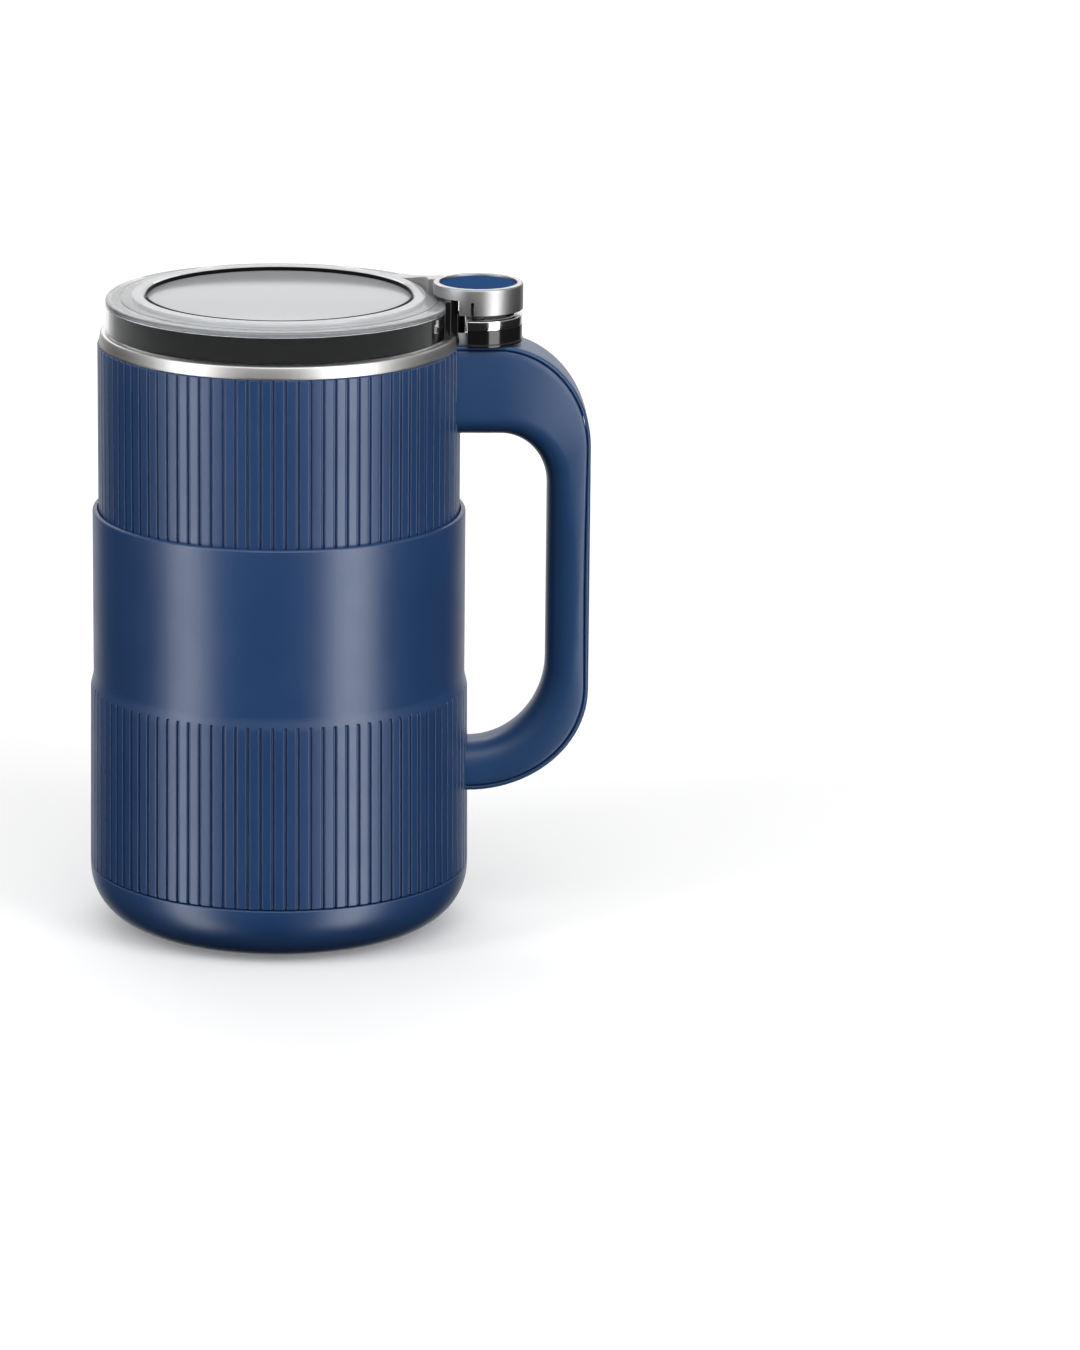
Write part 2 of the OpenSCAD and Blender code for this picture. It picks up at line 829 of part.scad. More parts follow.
module stator_core() {
    slot_r = coil_r_in + coil_slot_t + loose_fit;
    color(iron)
    translate([0, 0, z_stack])
        linear_extrude(stack_h)
            difference() {
                intersection() {
                    square(stator_w, center = true);
                    circle(r = stator_w / 2 + stator_corner);
                }
                circle(r = bore_r);
                for (s = [0, 180])
                    rotate(s) intersection() {
                        circle(r = slot_r);
                        polygon([
                            [0, 0], polar(stator_w, -slot_half_angle), polar(stator_w, slot_half_angle)
                        ]);
                    }
                for (sx = [-1, 1])
                    for (sy = [-1, 1])
                        translate([sx * bolt_pos, sy * bolt_pos]) circle(r = bolt_r + snug_fit);
            }
}

// A block of a ring between two angles
module ring_block(r0, r1, a0, a1, z, h) {
    rotate_extrude(angle = a1 - a0, start = a0)
        translate([r0, z]) square([r1 - r0, h]);
}

module field_coils() {
    a0 = 10;
    a1 = 30;
    color(copper)
    for (s = [0, 180])
        rotate(s) {
            ring_block(coil_r_in, coil_r_in + coil_t, a0, 180 - a0, z_stack_top, coil_end_h);
            ring_block(coil_r_in, coil_r_in + coil_t, a0, 180 - a0, z_stack - coil_end_h, coil_end_h);
            ring_block(coil_r_in, coil_r_in + coil_slot_t, a0, a1, z_stack - 1, stack_h + 2);
            ring_block(coil_r_in, coil_r_in + coil_slot_t, 180 - a1, 180 - a0, z_stack - 1, stack_h + 2);
        }
}

module brush_holders() {
    color(brass)
    for (s = [0, 180])
        rotate(s) translate([holder_x0, -holder_w / 2, z_holder])
            difference() {
                cube([holder_l, holder_w, holder_h]);
                translate([-eps, holder_t, holder_t])
                    cube([holder_l - holder_t + eps, holder_w - 2 * holder_t, holder_h - 2 * holder_t]);
            }
}

module carbon_brushes() {
    size = holder_w - 2 * holder_t - 2 * snug_fit;
    color(black)
    for (s = [0, 180])
        rotate(s) difference() {
            translate([commutator_r - 1, -size / 2, z_holder + holder_t + snug_fit])
                cube([brush_len + 1, size, holder_h - 2 * holder_t - 2 * snug_fit]);
            translate([0, 0, z_holder]) cylinder(r = commutator_r + running_fit, h = holder_h);
        }
}

module brush_springs() {
    wire = 0.45;
    x0 = commutator_r + brush_len;
    length = holder_x0 + holder_l - holder_t - x0;
    color(steel)
    for (s = [0, 180])
        rotate(s) translate([x0 + wire, 0, z_holder + holder_h / 2]) rotate([0, 90, 0])
            swept(wire_rings(helix(2.8, length - 2 * wire, 3, 12), wire, 6, [0, 0, 1]));
}

module bearing_outer_rings() {
    color(steel)
    for (z = [z_top_bracket, z_low_bracket])
        translate([0, 0, z - bearing_h])
            tube(bearing_r - 0.01, bearing_r - bearing_race_t, bearing_h);
}

module bearing_balls() {
    color(steel)
    for (z = [z_top_bracket, z_low_bracket])
        for (i = [0:ball_count - 1])
            rotate(360 * i / ball_count)
                translate([ball_ring_r, 0, z - bearing_h / 2]) sphere(r = ball_r, $fn = 24);
}

module thermal_cutout() {
    color("#cdb892")
    translate([-5, coil_r_in + 0.4, z_stack_top + coil_end_h]) cube([10, 5, 2.6]);
}

// ---- electronics and inlet ----

module control_board() {
    color("#2d5a3c")
    translate([-board_l / 2, -board_w / 2, z_board]) cube([board_l, board_w, board_t]);
}

module capacitor() {
    color("#d8a23a")
    translate([-capacitor_size.x / 2, -capacitor_size.y / 2, z_board_top]) cube(capacitor_size);
}

module mains_inlet() {
    color(black)
    difference() {
        union() {
            translate([-inlet_flange_l / 2, y_inlet_seat, z_inlet - inlet_flange_h / 2])
                cube([inlet_flange_l, inlet_flange_t, inlet_flange_h]);
            translate([-inlet_l / 2, y_inlet_seat - inlet_depth, z_inlet - inlet_h / 2])
                cube([inlet_l, inlet_depth + 1, inlet_h]);
        }
        translate([0, y_inlet_face - socket_depth_in, z_inlet]) rotate([-90, 0, 0]) {
            for (s = [-1, 1])
                translate([s * (socket_l - socket_h) / 2, 0, 0])
                    cylinder(r = socket_h / 2, h = socket_depth_in + eps);
            translate([-(socket_l - socket_h) / 2, -socket_h / 2, 0])
                cube([socket_l - socket_h, socket_h, socket_depth_in + eps]);
        }
        for (s = [-1, 1])
            translate([s * pin_pitch / 2, y_inlet_seat - inlet_depth - eps, z_inlet])
                rotate([-90, 0, 0]) cylinder(r = inlet_pin_r, h = inlet_depth);
    }
}

module inlet_pins() {
    back = y_inlet_seat - inlet_depth;
    front = y_inlet_face - socket_depth_in + inlet_pin_l;
    color(silver)
    for (s = [-1, 1])
        translate([s * pin_pitch / 2, back - pin_tail, z_inlet])
            rotate([-90, 0, 0]) cylinder(r = inlet_pin_r - 0.01, h = front - back + pin_tail);
}

module mains_leads() {
    back = y_inlet_seat - inlet_depth - pin_tail;
    z_end = z_board_top + lead_r;
    color("#8a5a3a")
    for (s = [-1, 1]) {
        x = s * pin_pitch / 2;
        swept(wire_rings(spline([
            [x, back - 0.3, z_inlet],
            [x, back - 2.3, z_inlet - 0.2],
            [x, back - 6, z_inlet - 4],
            [x, back - 8, z_inlet - 13],
            [x, back - 15, z_end + 4],
            [x, board_w / 2 - 2, z_end + 0.6],
            [x, board_w / 2 - 9, z_end + 0.1]
        ], 4), lead_r, 8, [1, 0, 0]));
    }
}

// ---- handle ----

function handle_in(t) =
    t <= 1 ? [mix(x_root, x_grip_in - in_rx, t), z_under] :
    t <= 2 ? let (a = 90 * (t - 1)) [x_grip_in - in_rx * (1 - sin(a)), z_under - in_rz * (1 - cos(a))] :
    t <= 3 ? [x_grip_in, mix(z_under - in_rz, z_low_in + low_in_rz, t - 2)] :
    t <= 4 ? let (a = 90 * (t - 3))
        [x_grip_in - low_in_rx * (1 - cos(a)), z_low_in + low_in_rz * (1 - sin(a))] :
    [mix(lower_r, x_root, t - 4), z_low_in];

function handle_out(t) =
    t <= 1 ? [mix(x_root, x_grip_out - out_rx, t), z_handle] :
    t <= 2 ? let (a = 90 * (t - 1)) [x_grip_out - out_rx * (1 - sin(a)), z_handle - out_rz * (1 - cos(a))] :
    t <= 3 ? [x_grip_out, mix(z_handle - out_rz, z_low_out + low_out_rz, t - 2)] :
    t <= 4 ? let (a = 90 * (t - 3))
        [x_grip_out - low_out_rx * (1 - cos(a)), z_low_out + low_out_rz * (1 - sin(a))] :
    [mix(lower_r, x_root, t - 4), z_low_out];

function eased(t) = t * t * (3 - 2 * t);

function handle_half(t) =
    t <= 1 ? handle_w / 2 : t <= 2 ? mix(handle_w, grip_w, eased(t - 1)) / 2 :
    t <= 3 ? grip_w / 2 : mix(grip_w, low_w, min(t - 3, 1)) / 2;

function handle_round(t) =
    t <= 1 ? top_round : t <= 2 ? mix(top_round, grip_round, t - 1) :
    t <= 3 ? grip_round : mix(grip_round, low_round, min(t - 3, 1));

// One ring of the handle: s runs across it, d runs in from its outer edge
function handle_ring(t, section) =
    let (o = handle_out(t), e = unit(handle_in(t) - o))
    [for (p = section) [o.x + e.x * p.y, p.x, o.y + e.y * p.y]];

function d_section(t, wall, top) =
    let (
        depth = norm(handle_in(t) - handle_out(t)),
        half = handle_half(t) - wall,
        round = handle_round(t)
    )
    concat(
        [
            for (i = [0:8])
                let (a = 180 * i / 8)
                [half * cos(a), depth - round + (round - wall) * sin(a)]
        ],
        top
    );

function frame_section(t) =
    let (half = handle_half(t))
    d_section(t, 0, [
        [-half, cover_t + seam_w],
        [-half + seam_w, cover_t],
        [half - seam_w, cover_t],
        [half, cover_t + seam_w]
    ]);

function channel_section(t) =
    let (half = handle_half(t) - handle_wall)
    d_section(t, handle_wall, [[-half, -1], [half, -1]]);

function cover_section(t) =
    let (half = handle_half(t))
    [
        [half - cover_edge_r, 0],
        [half - cover_edge_r * 0.3, cover_edge_r * 0.3],
        [half, cover_edge_r],
        [half, cover_t - seam_w],
        [half - seam_w, cover_t],
        [-half + seam_w, cover_t],
        [-half, cover_t - seam_w],
        [-half, cover_edge_r],
        [-half + cover_edge_r * 0.3, cover_edge_r * 0.3],
        [-half + cover_edge_r, 0]
    ];

// The tongue under the cover, which fits between the frame's walls
function tongue_section(t) =
    let (half = handle_half(t) - handle_wall - snug_fit * 2, foot = cover_t + cover_tongue)
    [[half, cover_edge_r], [half - 0.4, foot], [-half + 0.4, foot], [-half, cover_edge_r]];

// What the housings take from the handle's two roots
module housing_envelope() {
    cylinder(r = lower_r + snug_fit, h = z_waist);
    translate([0, 0, z_waist - 1]) cylinder(r = upper_r + snug_fit, h = z_handle - z_waist + 20);
}

// Stations of the channel, or of what runs in it, that stay a step inside its ends
function channel_stations(step) =
    let (a = channel_start + step, b = channel_end - step)
    concat([a], [for (t = stations) if (t > a && t < b) t], [b]);

module handle_frame() {
    block_l = switch_x0 + switch_l - upper_r;
    color(blue)
    difference() {
        union() {
            difference() {
                swept([for (t = stations) handle_ring(t, frame_section(t))]);
                swept([for (t = channel_stations(0)) handle_ring(t, channel_section(t))]);
            }
            // shelf under the micro switch
            translate([upper_r - 2, -switch_w / 2, z_under + 1])
                cube([block_l + 2, switch_w, shelf_h - 1]);
        }
        housing_envelope();
        translate([upper_r - 4, 0, z_top_screw])
            rotate([0, 90, 0]) cylinder(r = screw_r + running_fit, h = root_hole_l);
        translate([lower_r - 4, 0, z_low_screw])
            rotate([0, 90, 0]) cylinder(r = screw_r + running_fit, h = root_hole_l);
        translate([lower_r - 4, lead_y, z_low_screw])
            rotate([0, 90, 0]) cylinder(r = lead_hole_r, h = root_hole_l);
    }
}

module handle_cover() {
    color(blue)
    difference() {
        union() {
            swept([for (t = stations) handle_ring(t, cover_section(t))]);
            swept([for (t = channel_stations(0.02)) handle_ring(t, tongue_section(t))]);
        }
        housing_envelope();
        translate([button_x, 0, z_handle - cover_t - cover_tongue - eps])
            cylinder(r = pin_r + loose_fit, h = cover_t + cover_tongue + 2 * eps);
    }
}

module handle_screws() {
    color(iron) {
        translate([upper_bore_r - snug_fit, 0, z_top_screw])
            rotate([0, 90, 0]) screw(screw_r, top_screw_l, screw_head_r, low_head_h);
        translate([lower_bore_r - snug_fit, 0, z_low_screw])
            rotate([0, 90, 0]) screw(screw_r, low_screw_l, screw_head_r, low_head_h);
    }
}

// ---- switch post ----

module post_trim(r) {
    translate([0, 0, z_rim]) {
        cylinder(r = r, h = z_ear - z_rim);
        translate([0, -button_x, 0]) cube([post_face_x, 2 * button_x, z_ear - z_rim]);
    }
}

module switch_post() {
    color(black)
    difference() {
        translate([button_x, 0, z_handle]) {
            difference() {
                union() {
                    cylinder(r = post_r, h = post_foot_h);
                    cylinder(r = post_r + 0.3, h = 0.8);
                }
                translate([0, 0, -eps]) cylinder(r = post_inner_r, h = post_foot_h - post_roof_t + eps);
                cylinder(r = pin_r + running_fit, h = post_foot_h + eps);
            }
        }
        post_trim(post_clear_r);
    }
}

module post_ring() {
    color(steel)
    difference() {
        translate([button_x, 0, z_post]) tube(post_r, post_inner_r, post_ring_h);
        post_trim(post_clear_r);
    }
}

module post_plate() {
    color(black)
    difference() {
        translate([button_x, 0, z_post]) tube(post_inner_r - snug_fit, pin_r + running_fit, post_plate_t);
        post_trim(post_clear_r);
    }
}

module micro_switch() {
    color("#23262b")
    difference() {
        translate([switch_x0, -switch_w / 2, z_switch - switch_h]) cube([switch_l, switch_w, switch_h]);
        translate([button_x, 0, z_switch - pin_tip_h])
            cylinder(r = pin_tip_r + loose_fit, h = pin_tip_h + eps);
    }
}

module switch_pin() {
    tip = 0.8;
    z_shoulder = z_switch + button_travel + loose_fit;
    color("#d9d9d6")
    translate([button_x, 0, 0]) {
        translate([0, 0, z_switch - tip]) cylinder(r = pin_tip_r, h = z_shoulder - z_switch + tip + 0.5);
        translate([0, 0, z_shoulder]) cylinder(r = pin_r, h = z_pin - z_shoulder);
        translate([0, 0, z_pin - 1]) cylinder(r = pin_head_r, h = 1);
    }
}

module switch_leads() {
    x_arm = switch_x0 + switch_l + 2;
    x_mid = x_grip_out - grip_t / 2 + 1;
    y_switch = -switch_w / 2 - lead_r - snug_fit;
    color("#8a5a3a")
    swept(wire_rings(spline([
        [switch_x0 + 4, y_switch, z_switch - 5],
        [x_arm, y_switch, z_switch - 5],
        [x_arm + 8, lead_y + 1, z_switch - 12],
        [x_mid, lead_y + 2, z_under - 14],
        [x_mid, lead_y + 2, (z_under + z_low_in) / 2],
        [x_mid, lead_y + 2, z_low_in + 30],
        [x_mid - 4, lead_y + 1, z_low_in + 12],
        [x_mid - 12, lead_y, z_low_in - 1],
        [lower_r + 13, lead_y, z_low_screw + 2.4],
        [lower_r + 6.5, lead_y, z_low_screw + 0.2],
        [lower_r - 2, lead_y, z_low_screw + 0.2],
        [lower_r - 9, lead_y, z_low_screw - 0.5],
        [lower_r - 18, lead_y - 1, z_low_screw - 8],
        [41, -9, z_base + 11],
        [36, -10, z_board_top + 8],
        [28, -10, z_board_top + lead_r + 1.4],
        [18, -10, z_board_top + lead_r + 0.1]
    ], 4), lead_r, 8, [0, 1, 0]));
}

// ---- rotor ----

module motor_shaft() {
    color(steel)
    translate([0, 0, z_shaft]) cylinder(r = shaft_r, h = z_shaft_top - z_shaft);
}

module armature_core() {
    color(iron)
    translate([0, 0, z_stack])
        linear_extrude(stack_h)
            difference() {
                circle(r = armature_r);
                circle(r = shaft_r + 0.01);
                for (i = [0:11])
                    rotate(30 * i) translate([armature_r / 2, -1.6]) square([armature_r / 2 + 1, 3.2]);
            }
}

module armature_windings() {
    slot_r0 = armature_r / 2 + 0.2;
    color(copper)
    union() {
        translate([0, 0, z_stack_top]) tube(winding_r, shaft_r + 0.01, winding_end_h);
        translate([0, 0, z_stack - low_winding_end_h]) tube(winding_r, shaft_r + 0.01, low_winding_end_h);
        for (i = [0:11])
            rotate(30 * i) translate([slot_r0, -1.4, z_stack - 1])
                cube([winding_r - 0.5 - slot_r0, 2.8, stack_h + 2]);
    }
}

module commutator() {
    color(copper)
    translate([0, 0, z_commutator])
        linear_extrude(commutator_h)
            difference() {
                circle(r = commutator_r);
                circle(r = shaft_r + 0.01);
                for (i = [0:commutator_bars - 1])
                    rotate(360 * i / commutator_bars) translate([commutator_r - 1.2, -0.2]) square([2, 0.4]);
            }
}

module cooling_fan() {
    color("#d8d8d2")
    difference() {
        union() {
            translate([0, 0, z_fan - fan_h]) cylinder(r = fan_hub_r, h = fan_h);
            translate([0, 0, z_fan - fan_disc_t]) cylinder(r = fan_r, h = fan_disc_t);
            for (i = [0:fan_blades - 1])
                rotate(360 * i / fan_blades)
                    translate([fan_hub_r - 1, 0, z_fan - fan_h + 0.5]) rotate(18) translate([0, -0.7, 0])
                        cube([fan_r - fan_hub_r - 1.5, 1.4, fan_h - fan_disc_t]);
        }
        translate([0, 0, z_fan - fan_h - eps]) cylinder(r = shaft_r + 0.01, h = fan_h + 2 * eps);
    }
}

module bearing_inner_rings() {
    color(steel)
    for (z = [z_top_bracket, z_low_bracket])
        translate([0, 0, z - bearing_h]) tube(shaft_r + inner_race_t, shaft_r + 0.01, bearing_h);
}

module blade_spacer() {
    z_low = z_cup + hub_h + loose_fit;
    color(steel) {
        translate([0, 0, z_low]) tube(spacer_r, shaft_r + 0.01, z_lower_blade - z_low);
        translate([0, 0, z_lower_blade + blade_t]) tube(spacer_r, shaft_r + 0.01, mid_spacer_h);
    }
}

// A strip with two upturned tips, cut to its outline from above, with the shaft's hole
module blade(reach, tip_angle) {
    half_w = blade_w / 2;
    strip_end = reach + 1;
    rise = (strip_end - tip_start) * tan(tip_angle);
    top = rise + blade_t / cos(tip_angle);
    x_bend = tip_start - blade_t * tan(tip_angle / 2);
    difference() {
        intersection() {
            rotate([90, 0, 0]) linear_extrude(blade_w + 2, center = true) polygon([
                [-strip_end, rise],
                [-tip_start, 0],
                [tip_start, 0],
                [strip_end, rise],
                [strip_end, top],
                [x_bend, blade_t],
                [-x_bend, blade_t],
                [-strip_end, top]
            ]);
            translate([0, 0, -eps]) linear_extrude(top + 2 * eps) polygon([
                [reach - tip_cut_l, -half_w],
                [reach, half_w - tip_edge_w],
                [reach, half_w],
                [tip_cut_l - reach, half_w],
                [-reach, tip_edge_w - half_w],
                [-reach, -half_w]
            ]);
        }
        translate([0, 0, -eps]) cylinder(r = shaft_r + 0.01, h = blade_t + 2 * eps);
    }
}

module lower_blade() {
    color(steel)
    translate([0, 0, z_lower_blade]) blade(lower_blade_r, lower_tip_angle);
}

module upper_blade() {
    color(steel)
    translate([0, 0, z_upper_blade]) rotate(90) blade(upper_blade_r, upper_tip_angle);
}

module blade_washer() {
    color(steel)
    translate([0, 0, z_washer]) tube(nut_af_r + 0.6, shaft_r + 0.01, washer_t);
}

module blade_nut() {
    color(steel)
    translate([0, 0, z_nut])
        difference() {
            cylinder(r = nut_af_r, h = nut_h, $fn = 6);
            translate([0, 0, -eps]) cylinder(r = shaft_r + 0.01, h = nut_h + 2 * eps);
        }
}

// ---- lid ----

module notch(x) {
    translate([x, -notch_half_y, z_rim_top]) cube([20, 2 * notch_half_y, lid_h + 5]);
}

module lid_shell() {
    z_wall = z_rim_top + lid_gap;
    hole_r = window_r + snug_fit;
    color(clear)
    difference() {
        rotate_extrude() polygon([
            [lid_r - lid_wall, z_wall],
            [lid_r, z_wall],
            [lid_r, z_lid - lid_edge_r],
            [lid_r - lid_edge_r * 0.3, z_lid - lid_edge_r * 0.3],
            [lid_r - lid_edge_r, z_lid],
            [hole_r, z_lid],
            [hole_r, z_lid - window_t],
            [hole_r - window_ledge_w, z_lid - window_t],
            [hole_r - window_ledge_w, z_lid - window_t - 1.4],
            [hole_r + 1, z_lid - window_t - 1.4],
            [hole_r + 1.6, z_lid - lid_top_t],
            [lid_r - lid_wall, z_lid - lid_top_t]
        ]);
        notch(notch_x);
    }
}

module lid_window() {
    color(clear)
    translate([0, 0, z_lid - window_t]) cylinder(r = window_r, h = window_t);
}

module lid_bezel() {
    color(clear)
    rotate_extrude() polygon([
        [bezel_in_r, z_lid],
        [bezel_r, z_lid],
        [bezel_r, z_lid + bezel_h - 0.5],
        [bezel_r - 0.5, z_lid + bezel_h],
        [bezel_in_r + 1.2, z_lid + bezel_h],
        [bezel_in_r, z_lid + bezel_h - 0.7]
    ]);
}

module lid_seal() {
    z_low = z_rim_top + lid_gap;
    band_in = seal_r_out - seal_band_t;
    plug_in = seal_plug_r - seal_plug_w;
    z_plug = z_rim_top - seal_plug_h;
    color(black)
    difference() {
        rotate_extrude() polygon([
            [plug_in, z_plug],
            [seal_plug_r - 0.6, z_plug],
            [seal_plug_r, z_plug + 1.2],
            [seal_plug_r, z_low],
            [seal_r_out, z_low],
            [seal_r_out, z_lid - lid_top_t],
            [band_in, z_lid - lid_top_t],
            [band_in, z_low + seal_flange_t],
            [plug_in, z_low + seal_flange_t]
        ]);
        notch(seal_notch_x);
    }
}

// An upright slice of the ramp: its foot on the lid, its top at height h
module ramp_slice(angle, h) {
    rotate(angle) translate([ramp_r, 0, z_lid]) cube([ramp_w, ramp_edge, h]);
}

module lid_ear() {
    mid_h = ear_rise * 0.6;
    reach = button_x + ear_r;
    color(silver)
    difference() {
        union() {
            translate([button_x, 0, z_skirt]) cylinder(r = ear_r, h = ear_skirt_h);
            // ramp from the lid's flange up to the ring, in two flights
            hull() {
                ramp_slice(ramp_angle_far, ramp_edge);
                ramp_slice(ramp_angle_mid, mid_h);
            }
            hull() {
                ramp_slice(ramp_angle_mid, mid_h);
                ramp_slice(ramp_angle_near, ear_rise);
            }
        }
        translate([button_x, 0, z_skirt - eps]) cylinder(r = ear_bore_r, h = ear_skirt_h + 2 * eps);
        // the ring stays clear of the lid and the rim on its inner side
        translate([0, 0, z_skirt - eps]) difference() {
            cylinder(r = ear_clear_r, h = z_ear_clear - z_skirt + eps);
            rotate(ramp_angle_near) translate([0, 0, z_lid - z_skirt + eps]) cube(reach);
        }
    }
}

module ear_bracket() {
    z_low = z_rim_top + lid_gap;
    half = notch_half_y - 3;
    color(black)
    difference() {
        union() {
            translate([notch_x, -half, z_low]) cube([bracket_t, 2 * half, z_ear_clear - z_low]);
            for (i = [0:bracket_ribs - 1])
                translate([
                    notch_x + bracket_t - 0.5,
                    (i - (bracket_ribs - 1) / 2) * bracket_rib_pitch - bracket_rib_w / 2,
                    z_low
                ])
                    cube([3, bracket_rib_w, z_ear_clear - z_low]);
        }
        // the ear comes down to the lid on its far side
        translate([notch_x - 1, 0, z_lid]) cube([8, half + 1, 5]);
        // room for the cap at the end of its travel
        translate([button_x, 0, z_cap - cap_t - button_travel - loose_fit])
            cylinder(r = ear_bore_r, h = 10);
    }
}

module ear_floor() {
    color(black)
    difference() {
        translate([button_x, 0, z_ear_floor - ear_floor_t])
            tube(ear_bore_r - snug_fit, stem_r + loose_fit, ear_floor_t);
        translate([0, 0, z_ear_floor - ear_floor_t - eps])
            cylinder(r = ear_clear_r, h = ear_floor_t + 2 * eps);
    }
}

// ---- button ----

module button_cap() {
    z_low = z_cap - cap_t;
    color("#3b5685")
    translate([button_x, 0, 0]) {
        translate([0, 0, z_low]) cylinder(r = cap_r, h = cap_t);
        translate([0, 0, z_stem]) cylinder(r = stem_r, h = z_low - z_stem + 0.5);
    }
}

module button_clip() {
    color(steel)
    translate([button_x, 0, z_clip - clip_t]) tube(clip_r, stem_r + 0.01, clip_t);
}

module button_spring() {
    height = z_cap - cap_t - z_ear_floor;
    color(steel)
    translate([button_x, 0, z_ear_floor + spring_wire])
        swept(wire_rings(helix(spring_r, height - 2 * spring_wire, 2, 14), spring_wire - 0.02, 6, [0, 0, 1]));
}

foot_ring();
base_cover();
base_screws();
lower_housing();
upper_housing();
rim_ring();
grinding_cup();
cup_gasket();
cup_screws();
shaft_seal();
motor_plate();
motor_dampers();
motor_mount_screws();
motor_bracket_top();
motor_bracket_bottom();
motor_bolts();
stator_core();
field_coils();
brush_holders();
carbon_brushes();
brush_springs();
bearing_outer_rings();
bearing_balls();
thermal_cutout();
control_board();
capacitor();
mains_inlet();
inlet_pins();
mains_leads();
handle_frame();
handle_cover();
handle_screws();
switch_post();
post_ring();
post_plate();
micro_switch();
switch_leads();
motor_shaft();
armature_core();
armature_windings();
commutator();
cooling_fan();
bearing_inner_rings();
blade_spacer();
lower_blade();
upper_blade();
blade_washer();
blade_nut();
lid_shell();
lid_window();
lid_bezel();
lid_seal();
lid_ear();
ear_bracket();
ear_floor();
button_cap();
button_clip();
button_spring();
switch_pin();
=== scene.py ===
from math import cos, hypot, pi, radians, sin, sqrt, tan

import bmesh
import bpy
from mathutils import Matrix, Vector


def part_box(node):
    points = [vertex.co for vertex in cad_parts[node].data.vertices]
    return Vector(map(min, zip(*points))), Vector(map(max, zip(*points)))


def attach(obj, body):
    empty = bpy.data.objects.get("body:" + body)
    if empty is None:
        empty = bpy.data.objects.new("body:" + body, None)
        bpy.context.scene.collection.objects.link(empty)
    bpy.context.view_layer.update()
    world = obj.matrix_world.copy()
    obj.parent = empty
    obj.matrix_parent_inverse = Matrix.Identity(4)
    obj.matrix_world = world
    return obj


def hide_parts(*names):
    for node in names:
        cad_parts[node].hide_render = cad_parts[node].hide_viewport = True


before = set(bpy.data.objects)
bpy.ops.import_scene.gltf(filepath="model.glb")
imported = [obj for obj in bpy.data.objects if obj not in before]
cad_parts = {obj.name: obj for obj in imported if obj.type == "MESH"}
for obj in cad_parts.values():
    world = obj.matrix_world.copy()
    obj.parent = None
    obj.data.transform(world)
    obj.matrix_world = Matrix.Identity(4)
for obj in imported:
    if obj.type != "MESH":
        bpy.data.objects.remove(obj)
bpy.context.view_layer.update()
print("frame loaded,", len(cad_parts), "nodes")

# Sizes are in millimetres; times metre, they are in Blender's metres
metre = 0.001
upAxis = (0, 0, 1)


def side(node, which):
    low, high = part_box(node)  # which is x-, x+, y-, y+, z- or z+
    return (high if which[1] == "+" else low)["xyz".index(which[0])] / metre


# Materials

def linearColour(hexCode):
    parts = [int(hexCode[i:i + 2], 16) / 255 for i in (1, 3, 5)]
    return [c / 12.92 if c <= 0.04045 else ((c + 0.055) / 1.055) ** 2.4 for c in parts] + [1]


def addNode(tree, kind, settings={}, links={}):
    node = tree.nodes.new(kind)
    for name, value in settings.items():
        if isinstance(name, str) and hasattr(node, name):
            setattr(node, name, value)
        else:
            node.inputs[name].default_value = value
    for name, source in links.items():
        tree.links.new(source, node.inputs[name])
    return node


def startMaterial(name, colour, sockets):
    material = bpy.data.materials.new(name)
    material.use_nodes = True
    tree = material.node_tree
    shader = tree.nodes["Principled BSDF"]
    shader.inputs["Base Color"].default_value = linearColour(colour)
    for socket, value in sockets.items():
        shader.inputs[socket].default_value = value
    place = addNode(tree, "ShaderNodeTexCoord").outputs["Object"]
    return material, tree, shader, place


def grain(tree, shader, place, size, height):
    # bumps of that size and height in millimetres
    noise = addNode(
        tree, "ShaderNodeTexNoise", {"Scale": 1 / (size * metre), "Detail": 2.0}, {"Vector": place}
    )
    bump = addNode(
        tree, "ShaderNodeBump", {"Distance": height * metre}, {"Height": noise.outputs["Fac"]}
    )
    tree.links.new(bump.outputs["Normal"], shader.inputs["Normal"])


def drift(tree, shader, place, size, roughness, swing):
    # roughness that drifts to both sides of its value over patches of that size
    noise = addNode(
        tree, "ShaderNodeTexNoise", {"Scale": 1 / (size * metre), "Detail": 3.0}, {"Vector": place}
    )
    span = addNode(
        tree,
        "ShaderNodeMapRange",
        {"From Min": 0.3, "From Max": 0.7, "To Min": roughness - swing, "To Max": roughness + swing},
        {"Value": noise.outputs["Fac"]},
    )
    tree.links.new(span.outputs["Result"], shader.inputs["Roughness"])


def mottle(tree, shader, place, size, first, second):
    # two colours that change slowly into each other
    noise = addNode(
        tree, "ShaderNodeTexNoise", {"Scale": 1 / (size * metre), "Detail": 4.0}, {"Vector": place}
    )
    ramp = addNode(tree, "ShaderNodeValToRGB", {}, {"Fac": noise.outputs["Fac"]})
    for point, (spot, colour) in zip(ramp.color_ramp.elements, ((0.35, first), (0.65, second))):
        point.position = spot
        point.color = linearColour(colour)
    tree.links.new(ramp.outputs["Color"], shader.inputs["Base Color"])


def mouldedPlastic(name, first, second, roughness, specular, grainSize=0.5, grainHeight=0.004):
    # injection-moulded ABS from a spark-eroded tool: satin, with a very fine even grain
    material, tree, shader, place = startMaterial(
        name, first, {"Roughness": roughness, "IOR": 1.52, "Specular IOR Level": specular}
    )
    mottle(tree, shader, place, 30, first, second)
    drift(tree, shader, place, 12, roughness, 0.02)
    grain(tree, shader, place, grainSize, grainHeight)
    return material


